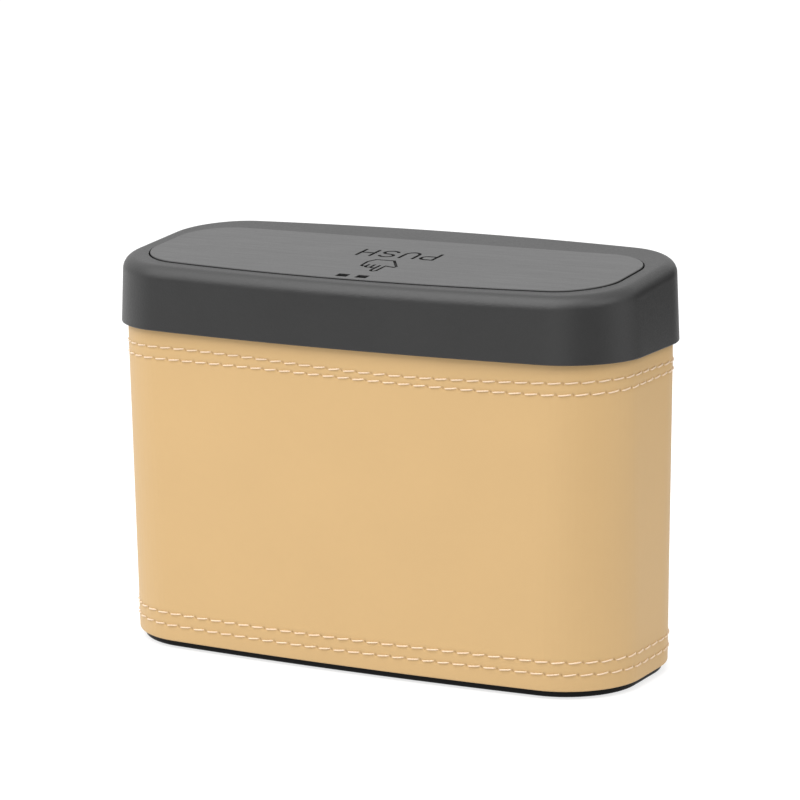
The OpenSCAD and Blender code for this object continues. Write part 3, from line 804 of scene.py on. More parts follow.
@dataclass
class LeatherSleeve:
    """The leather wrapped round the bucket, with two rows of stitching near each edge and a lapped seam behind."""

    envelope: Envelope
    rows: tuple[StitchRow, ...] = (
        StitchRow(9.29, 0.2, -0.19, 0.26),
        StitchRow(13.77, 2.0, -0.17, 0.17),
        StitchRow(110.56, -1.3, 0.14, -0.43),
        StitchRow(114.03, 1.1, -0.63, -0.78),
    )
    pitch: float = 6.05
    columns: int = 1290
    slant: float = 0.1
    thread_radius: float = 0.29
    thread_sides: int = 10
    thread_steps: int = 12
    stitch_share: float = 0.8
    lift: float = 0.1
    twist: float = 2.6
    groove: float = 0.08
    groove_width: float = 0.8
    ridge_offset: float = 1.5
    ridge_width: float = 0.7
    row_reach: float = 3.0
    pit_depth: float = 0.3
    pit_width: float = 0.36
    pit_height: float = 0.4
    pit_slant: float = 0.9
    lap_height: float = 0.3
    lap_length: float = 14.0
    lap_fade: float = 6.0
    waviness: float = 0.07
    wave_size: float = 38.0
    # Painted shade of each point of the sleeve, from its needle holes and the seam's groove.
    pit_shades: list[float] = field(default_factory=list)

    def __post_init__(self) -> None:
        """Reads the sleeve's own place from the frame."""
        self.bottom, self.top = (corner.z for corner in extent("leather_sleeve"))
        self.inset = self.envelope.inset_of("leather_sleeve")
        self.hem = SLEEVE_THICKNESS / 2

    def contour(self, inset: float, height: float) -> Contour:
        """Returns the sleeve's level outline at one inset and height."""
        return Contour(self.envelope.outline(height).points(inset))

    def sway(self, height: float, share: float) -> float:
        """Returns how far the face's lines rise with the stitches.

        Args:
            height: Height of the line.
            share: Share of the way round from the middle of the front.

        Returns:
            The rise.
        """
        knots = [(self.bottom, 0.0), *((row.height, row.sway(share)) for row in self.rows), (self.top, 0.0)]
        for (z0, first), (z1, second) in zip(knots, knots[1:]):
            if height <= z1:
                return mix(first, second, (height - z0) / (z1 - z0))
        return 0.0

    def relief(self, along: float, height: float, length: float) -> tuple[float, float]:
        """Works out the sewn relief at a point of the face.

        Args:
            along: Distance from the middle of the front, anticlockwise.
            height: Height of the point.
            length: Length of the whole way round.

        Returns:
            How far the face stands out, and how deep in a needle hole the point is, from 0 to 1, which sets the hole's
            painted shade.
        """
        pitch = length / round(length / self.pitch)
        out, pit = 0.0, 0.0
        for row in self.rows:
            rise = height - row.height
            if abs(rise) > self.row_reach:
                continue
            phase = ((along - row.phase) / pitch + 0.5) % 1.0 - 0.5
            gap = pitch * phase
            slit = rise + self.pit_slant * gap
            dent = math.exp(-((rise / self.groove_width) ** 2))
            out -= self.groove * dent * (0.6 + 0.4 * math.cos(2 * math.pi * phase))
            out += 0.5 * self.groove * math.exp(-(((abs(rise) - self.ridge_offset) / self.ridge_width) ** 2))
            hole = math.exp(-((gap / self.pit_width) ** 2) - (slit / self.pit_height) ** 2)
            out -= self.pit_depth * hole
            pit = max(pit, hole)
        return out, pit

    def lap(self, along: float, height: float, length: float) -> tuple[float, float]:
        """Works out the lapped seam behind.

        Args:
            along: Distance from the middle of the front, anticlockwise.
            height: Height of the point.
            length: Length of the whole way round.

        Returns:
            How far the face stands out, and how deep in the seam's groove the point is, which sets the groove's
            painted shade.
        """
        past = length / 2 - along
        fade = ease((self.envelope.cap_z - height) / self.lap_fade)
        step = ease((past + 0.35) / 0.7) * (1 - ease(past / self.lap_length))
        # The seam's groove, which is also darkened with painted shade.
        line = math.exp(-(((past + 0.5) / 0.45) ** 2))
        return (self.lap_height * step - 0.12 * line) * fade, 0.45 * line * fade

    def heights(self) -> list[float]:
        """Returns the heights of the face's rings, close together near the stitches."""
        offsets = (-2.4, -1.7, -1.2, -0.8, -0.45, -0.15, 0.15, 0.45, 0.8, 1.2, 1.7, 2.4)
        low, high = self.bottom + self.hem, self.top - self.hem
        wanted = [row.height + offset for row in self.rows for offset in offsets]
        wanted += [mix(low, high, k / 9) for k in range(10)]
        kept = [low]
        for height in sorted(wanted):
            if height - kept[-1] > 0.24 and height < high - 0.24:
                kept.append(height)
        return kept + [high]

    def face(self, inset: float, height: float) -> Ring:
        """Makes one ring of the sleeve's outer face, and notes the painted shade of its points in needle holes and the
        seam's groove.

        Args:
            inset: The ring's inset before any relief.
            height: Its height.

        Returns:
            The ring.
        """
        contour = self.contour(inset, height)
        ring = []
        for k in range(self.columns):
            share = k / self.columns
            point, outward = contour.at(share)
            along = share * contour.length
            sewn, pit = self.relief(along, height, contour.length)
            lapped, line = self.lap(along, height, contour.length)
            seed = Vector((point.x, point.y, height)) / self.wave_size
            out = sewn + lapped + self.waviness * noise.noise(seed)
            ring.append(point + outward * out + Vector((0, 0, height + self.sway(height, share))))
            self.pit_shades.append(max(pit, line))
        return ring

    def skin(self) -> Draft:
        """Returns the whole sleeve as one closed loop: lower hem, face, upper hem and back."""
        middle = self.inset + self.hem
        lower = arc(middle, self.bottom + self.hem, self.hem, 270, 190, 4)
        upper = arc(middle, self.top - self.hem, self.hem, 170, 90, 4)
        profile = lower + [(self.inset, height) for height in self.heights()] + upper
        inner = self.inset + SLEEVE_THICKNESS
        rings = [self.face(inset, height) for inset, height in profile]
        for height in (self.top - self.hem, self.bottom + self.hem):
            contour = self.contour(inner, height)
            rings.append([contour.at(k / self.columns)[0] + Vector((0, 0, height)) for k in range(self.columns)])
            self.pit_shades += [0.0] * self.columns
        return Draft().loft(rings, closed=True)

    def stitch(self, draft: Draft, row: StitchRow, number: int) -> None:
        """Adds one stitch to the thread's draft: two plies twisted together, dipping into a hole at each end.

        Args:
            draft: The thread's draft.
            row: The stitch's row.
            number: Its number in the row.
        """
        contour = self.contour(self.inset, row.height)
        pitch = contour.length / round(contour.length / self.pitch)
        reach = pitch * self.stitch_share / 2
        middle = row.phase + pitch * (number + 0.5)
        jitter = noise.noise(Vector((number * 1.7, row.height, 0.5)))
        rings = []
        for k in range(self.thread_steps + 1):
            share = mix(-1, 1, k / self.thread_steps)
            offset = share * reach
            point, outward = contour.at((middle + offset) / contour.length)
            rise = row.height + row.sway(middle / contour.length) + (self.slant + 0.05 * jitter) * offset
            dip = self.lift + self.thread_radius * 0.35 - (self.thread_radius * 1.5 + self.lift) * abs(share) ** 5
            along = Vector((-outward.y, outward.x, self.slant)).normalized()
            across = outward.cross(along).normalized()
            size = self.thread_radius * (1 - 0.35 * abs(share) ** 6)
            ring = []
            for j in range(self.thread_sides):
                angle = -2 * math.pi * j / self.thread_sides
                ply = 1 + 0.13 * math.cos(2 * (angle - offset * self.twist))
                spoke = (outward * math.sin(angle) + across * math.cos(angle)) * size * ply
                ring.append(point + outward * dip + Vector((0, 0, rise)) + spoke)
            rings.append(ring)
        draft.loft(rings)

    def build(self) -> None:
        """Makes the sleeve and its thread."""
        skin = self.skin()
        sleeve = Piece("leather_wrap", skin)
        # The painted shade of the needle holes and the seam's groove, for the leather's colour.
        values = sleeve.object.data.attributes.new("pit", "FLOAT", "POINT")
        values.data.foreach_set("value", self.pit_shades)
        sleeve.dress(GrainedLeather().material(), crease=70, even=False)
        sleeve.place(Body.BIN, Slot.LEATHER, "leather_sleeve")
        thread = Draft()
        for row in self.rows:
            for number in range(round(self.contour(self.inset, row.height).length / self.pitch)):
                self.stitch(thread, row, number)
        sewn = Piece("sleeve_stitching", thread)
        sewn.dress(THREAD.material(), crease=60, even=False)
        sewn.place(Body.BIN, Slot.THREAD)


@dataclass
class Bucket:
    """The moulded bucket, the ring that holds the bag on its rim, and the tray below it."""

    envelope: Envelope
    wall: float = 2.0
    floor: float = 2.0
    foot_hollow: float = 4.4
    rounding: float = 6.0
    wrap_gap: float = 0.1
    lip_height: float = 2.6
    lip_inset: float = 3.0
    ring_skirt: float = 1.3
    ring_gap: float = 0.5
    screw_radius: float = 1.5
    head_radius: float = 2.9
    head_depth: float = 1.2
    head_play: float = 0.3
    pad_gap: float = 0.2

    def __post_init__(self) -> None:
        """Reads the heights of the bucket, ring and tray from the frame."""
        self.outer = self.envelope.inset_of("leather_sleeve") + SLEEVE_THICKNESS + self.wrap_gap
        self.inner = self.outer + self.wall
        self.foot, self.rim = (corner.z for corner in extent("bucket"))
        self.floor_z = self.foot + self.foot_hollow

    def shell(self) -> Draft:
        """Returns the bucket: hollow foot, outer wall, rolled rim, inner wall and rounded floor."""
        floor_top = self.floor_z + self.floor
        profile = [(self.inner, self.floor_z), (self.inner, self.foot), (self.outer + 0.6, self.foot)]
        profile += [(self.outer, self.foot + 0.8)]
        profile += [(self.outer, mix(self.foot, self.rim, k / 6)) for k in range(1, 6)]
        profile += [(self.outer, self.rim - self.lip_height), (self.lip_inset, self.rim - self.lip_height)]
        profile += arc(self.lip_inset + 0.5, self.rim - 0.5, 0.5, 180, 90, 4)
        profile += arc(self.inner - 0.6, self.rim - 0.6, 0.6, 90, 0, 4)
        top, low = self.rim - 3, floor_top + self.rounding
        profile += [(self.inner, mix(top, low, k / 6)) for k in range(6)]
        profile += arc(self.inner + self.rounding, low, self.rounding, 180, 270, 8)
        profile += [(self.inner + self.rounding + 1, floor_top)]
        return Draft().loft(self.envelope.rings(profile))

    def bag_ring(self) -> Draft:
        """Returns the bag ring: a skirt inside the bucket and a flange on its rim."""
        low, high = (corner.z for corner in extent("bag_ring"))
        out, inside = self.inner + self.ring_gap, self.inner + self.ring_gap + self.ring_skirt
        flange = self.outer - 0.4
        profile = [(out, low + 0.2), (out, low + 1), (out, self.rim), (flange, self.rim)]
        profile += arc(flange + 0.5, high - 0.5, 0.5, 180, 90, 4)
        profile += arc(inside - 0.6, high - 0.6, 0.6, 90, 0, 4)
        profile += [(inside, low + 0.6)] + arc(inside - 0.4, low + 0.4, 0.4, 0, -90, 3)
        return Draft().loft(self.envelope.rings(profile), closed=True)

    def tray(self) -> Piece:
        """Returns the base tray, with its upstand, screw holes and recesses for the feet."""
        low, high = (corner.z for corner in extent("base_tray"))
        edge = self.envelope.inset_of("base_tray")
        top = self.foot
        profile = [(edge + 3, low)] + arc(edge + 1, low + 1, 1, 270, 180, 5)
        profile += [(edge, top), (self.inner + 0.3, top), (self.inner + 0.3, high), (self.inner + 1.7, high)]
        profile += [(self.inner + 1.7, top), (self.inner + 3, top)]
        piece = Piece("base_moulding", Draft().loft(self.envelope.rings(profile)))
        holes = []
        screw_x, screw_y = (place - self.head_radius + self.head_play for place in extent("base_screws")[1][:2])
        for side in (-1, 1):
            for end in (-1, 1):
                centre = (side * screw_x, end * screw_y)
                holes.append(Draft().cylinder(centre, self.screw_radius, Axis.Z, low - 1, top + 1))
                holes.append(Draft().cylinder(centre, self.head_radius, Axis.Z, low - 1, low + self.head_depth))
        for node in FEET:
            first, last = extent(node)
            centre = ((first.x + last.x) / 2, (first.y + last.y) / 2)
            radius = (last.x - first.x) / 2 + self.pad_gap
            holes.append(Draft().cylinder(centre, radius, Axis.Z, low - 1, last.z, sides=64))
        return piece.change(Join.CUT, holes)

    def build(self) -> None:
        """Makes the bucket, the bag ring and the tray."""
        plastic = MouldedPlastic("bucket_black", (0.03, 0.03, 0.031), roughness=0.5).material()
        Piece("bucket_moulding", self.shell()).dress(plastic).place(Body.BIN, Slot.BUCKET, "bucket")
        black = MouldedPlastic("ring_black", (0.034, 0.034, 0.035), roughness=0.42).material()
        Piece("bag_ring_moulding", self.bag_ring()).dress(black).place(Body.BIN, Slot.RING, "bag_ring")
        base = MouldedPlastic("base_black", (0.005, 0.005, 0.005), roughness=0.5, specular=0.1).material()
        self.tray().dress(base).place(Body.BIN, Slot.BASE, "base_tray")


@dataclass
class PushMark:
    """Marks sunk in the flap, read from behind: the word PUSH and a hand that points to the latch."""

    right: float = 17.0
    base: float = 5.1
    letter_h: float = 8.3
    letter_w: float = 5.5
    places: tuple[float, ...] = (0.0, 8.1, 17.0, 25.7)
    stroke: float = 1.25
    hand_stroke: float = 0.85
    hand_x: float = 3.5
    hand_top: float = -23.6

    def outline(self, path: Sequence[Flat], width: float) -> list[Flat]:
        """Returns the outline of a line of one width, with round ends.

        Args:
            path: The line's points.
            width: The line's width.

        Returns:
            The outline's points, in order.
        """
        line = [Vector(point) for point in path]
        sides: tuple[list[Vector], list[Vector]] = ([], [])
        last = len(line) - 1
        for k, point in enumerate(line):
            before = (point - line[max(k - 1, 0)]).normalized() if k else None
            after = (line[k + 1] - point).normalized() if k < last else None
            first, second = before or after, after or before
            bisector = (first + second).normalized()
            normal = Vector((-bisector.y, bisector.x))
            reach = width / 2 / max(normal.dot(Vector((-first.y, first.x))), 0.5)
            sides[0].append(point + normal * reach)
            sides[1].append(point - normal * reach)
        ends = []
        for point, toward in ((line[-1], line[-1] - line[-2]), (line[0], line[0] - line[1])):
            start = math.atan2(toward.y, toward.x) + math.pi / 2
            angles = [start - math.pi * k / 6 for k in range(1, 6)]
            ends.append([point + Vector((math.cos(a), math.sin(a))) * width / 2 for a in angles])
        joined = sides[0] + ends[0] + list(reversed(sides[1])) + ends[1]
        return [(point.x, point.y) for point in joined]

    def letters(self) -> list[list[Flat]]:
        """Returns the word's lines, with x along the word and y up its letters."""
        w, h = self.letter_w, self.letter_h
        half, bowl = w / 2, h * 0.27
        turn = bend((w - bowl, h - bowl), (bowl, bowl), 80, -80)
        letter_p = [[(0, 0), (0, h)], [(0, h), (w - bowl, h), *turn, (w - bowl, h - 2 * bowl), (0, h - 2 * bowl)]]
        letter_u = [[(0, h), *bend((half, half), (half, half), 180, 360, 12), (w, h)]]
        upper = bend((half, h * 0.755), (half, h * 0.245), 20, 270, 14)
        lower = bend((half, h * 0.255), (half, h * 0.255), 90, -160, 14)
        letter_s = [upper + lower[1:]]
        letter_h = [[(0, 0), (0, h)], [(w, 0), (w, h)], [(0, h * 0.5), (w, h * 0.5)]]
        lines = []
        for place, letter in zip(self.places, (letter_p, letter_u, letter_s, letter_h)):
            lines += [[(x + place, y) for x, y in line] for line in letter]
        return lines

    def hand(self) -> list[list[Flat]]:
        """Returns the hand's lines, with x across it and y from the wrist to the finger's tip."""
        half = 1.15
        lines = [[(-half, -6.9), (-half, -half), *bend((0, -half), (half, half), 180, 0), (half, -7.3)]]
        for number, drop in enumerate((5.4, 5.8, 7)):
            x = (number + 1) * 2 * half
            lines.append([(x - half, -8), *bend((x, -drop), (half, half), 180, 0, 6), (x + half, -8.4)])
        lines.append([(8.05, -8), (8.4, -11.9), (7.8, -13.8), (6.8, -15.3)])
        lines.append([(-1.15, -8), (-5.1, -6.9), (-5.5, -8.1), (-3.4, -11.4), (-0.8, -15.4)])
        lines.append([(-0.8, -15.7), (6.8, -15.7)])
        return lines

    def cutters(self, top: float, depth: float, slope: float) -> list[Draft]:
        """Returns one solid for each line.

        Args:
            top: Height of the flap's face over the bin's middle.
            depth: Depth of the marks.
            slope: Slope of the face.

        Returns:
            The solids that are cut out.
        """
        placed = [[(self.right - x, self.base - y) for x, y in line] for line in self.letters()]
        placed += [[(self.hand_x - x, self.hand_top - y) for x, y in line] for line in self.hand()]
        widths = [self.stroke] * len(self.letters()) + [self.stroke * self.hand_stroke] * len(self.hand())
        outlines = [self.outline(line, width) for line, width in zip(placed, widths)]
        return [Draft().prism(outline, Axis.Z, top - depth, top + 1).leaning(slope) for outline in outlines]


@dataclass
class CapFittings:
    """Sizes and places that the cap and its flap share.

    Heights of the sloping top are taken over the bin's middle.
    """

    envelope: Envelope
    hinge: Vector
    seat_gap: float = 0.3
    gap: float = 0.4
    proud: float = 0.4
    hinge_drop: float = 5.6
    flap_thickness: float = 2.4
    press_travel: float = 2.0
    arm_x: float = 58.0
    arm_width: float = 6.0
    lug_width: float = 3.0
    rod_radius: float = 1.2
    side_play: float = 0.4
    ledge_width: float = 2.2
    hinge_back: float = 6.0
    corner_radius: float = 18.5
    flap_bow: float = 7.4
    claw_height: float = 1.4
    housing_half_w: float = 9.3
    ear_x: float = 12.3

    def __post_init__(self) -> None:
        """Reads the flap's and the latch's places from the frame."""
        low, high = extent("flap")
        self.shelf_z = extent("bag_ring")[1].z + self.seat_gap
        self.slope = self.envelope.slope
        self.face = self.hinge.z + self.hinge_drop - self.slope * self.hinge.y
        self.top_z = self.face - self.proud
        self.under = self.face - self.flap_thickness
        self.ledge = self.under - self.press_travel
        self.front = low.y
        self.rear = self.hinge.y - self.hinge_back
        self.flap_width = high.x - low.x
        first, last = extent("latch_plunger")
        self.latch = Vector(((first.x + last.x) / 2, (first.y + last.y) / 2, 0))
        self.striker_top = last.z - self.claw_height
        first, last = extent("latch_housing")
        self.housing_half_d = (last.y - first.y) / 2

    @property
    def flap_outline(self) -> Outline:
        """The flap's outline: its front swells and its rear edge is straight."""
        bow = self.flap_bow
        return Outline(self.flap_width, self.front + bow, self.rear, self.corner_radius, bow, 0.0)

    def flap_rings(self, profile: Iterable[Flat]) -> list[Ring]:
        """Returns one sloping ring for each pair of inset and height of a profile."""
        return [self.flap_outline.ring(inset, height, self.slope) for inset, height in profile]

    @property
    def lug_places(self) -> list[float]:
        """Distances of the rod's lugs from the middle."""
        reach = self.arm_width / 2 + self.side_play + self.lug_width / 2
        return [side * (self.arm_x + sign * reach) for side in (-1, 1) for sign in (-1, 1)] + [0.0]


@dataclass
class Cap:
    """The cap's moulding: wall, rounded top edge, strip and ring round the flap, and all that it carries below."""

    fittings: CapFittings
    wall: float = 1.8
    top: float = 2.2
    fillet: float = 4.8
    draft: float = 0.9
    fillet_steps: int = 14
    plug_inset: float = 8.0
    plug_wall: float = 1.3
    plug_drop: float = 5.0
    shelf: float = 1.5
    skirt_inset: float = 1.95
    step_z: float = 125.6
    lip_wall: float = 1.4
    rib_pairs: int = 3
    rib: float = 1.2
    rib_top: tuple[Flat, ...] = ((2.1, -5.0), (3.0, -2.2), (5.5, -1.2), (9.3, -1.2))

    def __post_init__(self) -> None:
        """Works out the levels that the methods share."""
        self.envelope = self.fittings.envelope
        self.ceiling = self.fittings.top_z - self.top
        self.shelf_top = self.fittings.shelf_z + self.shelf

    def shell(self) -> Draft:
        """Returns the wall and top as one closed loop round the flap's opening."""
        inner, in_fillet = self.wall + self.draft, self.fillet - self.wall
        low, top = self.envelope.cap_z, self.fittings.top_z
        edge = self.draft + self.fillet
        ceiling = [(inner + in_fillet + 1, self.ceiling)]
        ceiling += arc(inner + in_fillet, self.ceiling - in_fillet, in_fillet, 90, 180, 6)
        foot = [(self.wall + 0.25, self.step_z + 0.5), (self.skirt_inset, self.step_z)]
        foot += [(self.skirt_inset, low + 0.3), (self.skirt_inset - 0.3, low), (0.45, low)]
        foot += arc(0.4, low + 0.4, 0.4, 270, 180, 4)[1:]
        rings = self.envelope.rings(ceiling, 1.0) + self.envelope.rings(foot)
        for share in (1 / 3, 2 / 3):
            rings += self.envelope.rings([(self.draft * share, mix(low + 0.4, top - self.fillet, share))], share)
        edging = arc(edge, top - self.fillet, self.fillet, 180, 90, self.fillet_steps)
        rings += self.envelope.rings(edging + [(edge + 0.4, top)], 1.0)
        opening = [(-self.fittings.gap - 0.7, top), (-self.fittings.gap - 0.3, top)]
        opening += arc(-self.fittings.gap - 0.3, top - 0.3, 0.3, 90, 0, 3)[1:]
        opening += [(-self.fittings.gap, self.ceiling), (-self.fittings.gap - 0.7, self.ceiling)]
        return Draft().loft(rings + self.fittings.flap_rings(opening), closed=True)

    def lip(self) -> Draft:
        """Returns the lip and ledge at the front and sides of the opening, which the flap rests above."""
        f = self.fittings
        out, low, inner = -f.gap - self.lip_wall, f.ledge - self.lip_wall, f.ledge_width - f.gap
        profile = [(out, low), (out, self.ceiling + 0.5), (-f.gap, self.ceiling + 0.5), (-f.gap, f.ledge)]
        profile += [(inner, f.ledge), (inner, low)]
        piece = Piece("lip", Draft().loft(f.flap_rings(reversed(profile)), closed=True))
        half, depth = self.envelope.width / 2, self.envelope.depth
        room, reach = f.housing_half_w + 1.2, f.ledge_width + 2
        middle = f.front - f.gap
        bottom, over = low - 9, self.ceiling + 9
        behind = Draft().block((-half, f.rear - 12, bottom), (half, depth, over))
        latch = Draft().block((f.latch.x - room, middle - reach, bottom), (f.latch.x + room, middle + reach, over))
        return piece.change(Join.CUT, [behind, latch]).undo()

    def plug(self) -> Draft:
        """Returns the shelf that lands on the bag ring, with the skirt that goes into the bucket."""
        inner, low = self.plug_inset + self.plug_wall, self.envelope.cap_z - self.plug_drop
        profile = [(self.plug_inset + 0.3, low), (self.plug_inset, low + 1), (self.plug_inset, self.fittings.shelf_z)]
        profile += [(self.wall - 0.3, self.fittings.shelf_z), (self.wall - 0.3, self.shelf_top)]
        profile += [(inner, self.shelf_top), (inner, low + 0.4), (inner - 0.3, low)]
        return Draft().loft(self.envelope.rings(profile), closed=True)

    def ribs(self) -> list[Draft]:
        """Returns the upright ribs between the shelf, the wall and the top. Their tops follow the wall's rounding."""
        env, top = self.envelope, self.fittings.top_z
        low, inner = self.shelf_top - 0.5, self.plug_inset + self.plug_wall
        below = [(inner, low), (self.wall, low)]
        drafts = []
        for k in range(1, self.rib_pairs + 1):
            x = k * (env.width / 2 - env.cap_radius) / (self.rib_pairs + 0.5)
            wall_y = env.depth / 2 - env.cap_bow * (2 * x / env.width) ** 2
            for end in (-1, 1):
                over = [(inset, top + drop + env.slope * end * (wall_y - inset)) for inset, drop in self.rib_top]
                side = [(end * (wall_y - inset), height) for inset, height in below + over]
                drafts += [Draft().prism(side, Axis.X, s * x - self.rib / 2, s * x + self.rib / 2) for s in (-1, 1)]
        for y in (-env.depth / 6, env.depth / 6):
            over = [(inset, top + drop + env.slope * y) for inset, drop in self.rib_top]
            for end in (-1, 1):
                side = [(end * (env.width / 2 - inset), height) for inset, height in below + over]
                drafts.append(Draft().prism(side, Axis.Y, y - self.rib / 2, y + self.rib / 2))
        return drafts

    def lugs(self) -> list[Draft]:
        """Returns the lugs under the rear strip that hold the hinge rod."""
        f = self.fittings
        radius = f.rod_radius + 2
        front, back = f.hinge.y - radius, f.hinge.y + radius
        rear = self.envelope.depth / 2 - self.wall - 4 - radius
        below = [(front, f.hinge.z), (back, f.hinge.z), (back, self.under_strip(back) - 1)]
        above = [(rear, self.under_strip(rear) - 1), (rear, self.under_strip(rear) + 0.5)]
        side = below + above + [(front, self.under_strip(front) + 0.5)]
        drafts = []
        for x in f.lug_places:
            start, end = x - f.lug_width / 2, x + f.lug_width / 2
            drafts.append(Draft().cylinder((f.hinge.y, f.hinge.z), radius, Axis.X, start, end))
            drafts.append(Draft().prism(side, Axis.X, start, end))
        return drafts

    def under_strip(self, y: float) -> float:
        """Returns the height of the top's underside at a distance behind the bin's middle."""
        return self.ceiling + self.fittings.slope * y

    def latch_wings(self) -> list[Draft]:
        """Returns the shelf's wings beside the latch, with the bosses for its screws."""
        f = self.fittings
        low, high = f.shelf_z, self.shelf_top
        rear = f.latch.y + f.housing_half_d
        drafts = []
        for side in (-1, 1):
            x = f.latch.x + side * (f.ear_x + 0.4)
            drafts.append(Draft().block((x - 3.3, f.front - 1.2, low), (x + 3.3, rear + 1.9, high)))
            drafts.append(Draft().cylinder((f.latch.x + side * f.ear_x, f.latch.y), 2.6, Axis.Z, low, low + 6.6))
        reach = f.ear_x
        drafts.append(Draft().block((f.latch.x - reach, rear + 0.3, low), (f.latch.x + reach, rear + 1.9, high)))
        return drafts

    def build(self) -> None:
        """Makes the cap in one piece."""
        f = self.fittings
        cap = Piece("cap_moulding", self.shell())
        cap.change(Join.ADD, [self.lip(), self.plug(), *self.ribs(), *self.lugs(), *self.latch_wings()])
        reach = f.arm_x + 20
        room_w, room_d = f.housing_half_w + 0.2, f.housing_half_d + 0.2
        cuts = [Draft().cylinder((f.hinge.y, f.hinge.z), f.rod_radius + 0.05, Axis.X, -reach, reach)]
        low, high = f.shelf_z - 1, self.shelf_top + 0.5
        corner = (f.latch.x - room_w, f.latch.y - room_d, low)
        cuts.append(Draft().block(corner, (f.latch.x + room_w, f.latch.y + room_d, high)))
        for side in (-1, 1):
            cuts.append(Draft().cylinder((f.latch.x + side * f.ear_x, f.latch.y), 1.1, Axis.Z, low, low + 6.8))
        cap.change(Join.CUT, cuts)
        grain = {"texture_size": 0.8, "texture_depth": 0.09}
        plastic = MouldedPlastic("cap_charcoal", (0.017, 0.017, 0.017), roughness=0.45, specular=0.45, **grain)
        cap.dress(plastic.material()).place(Body.CAP, Slot.CAP, "lid_frame")


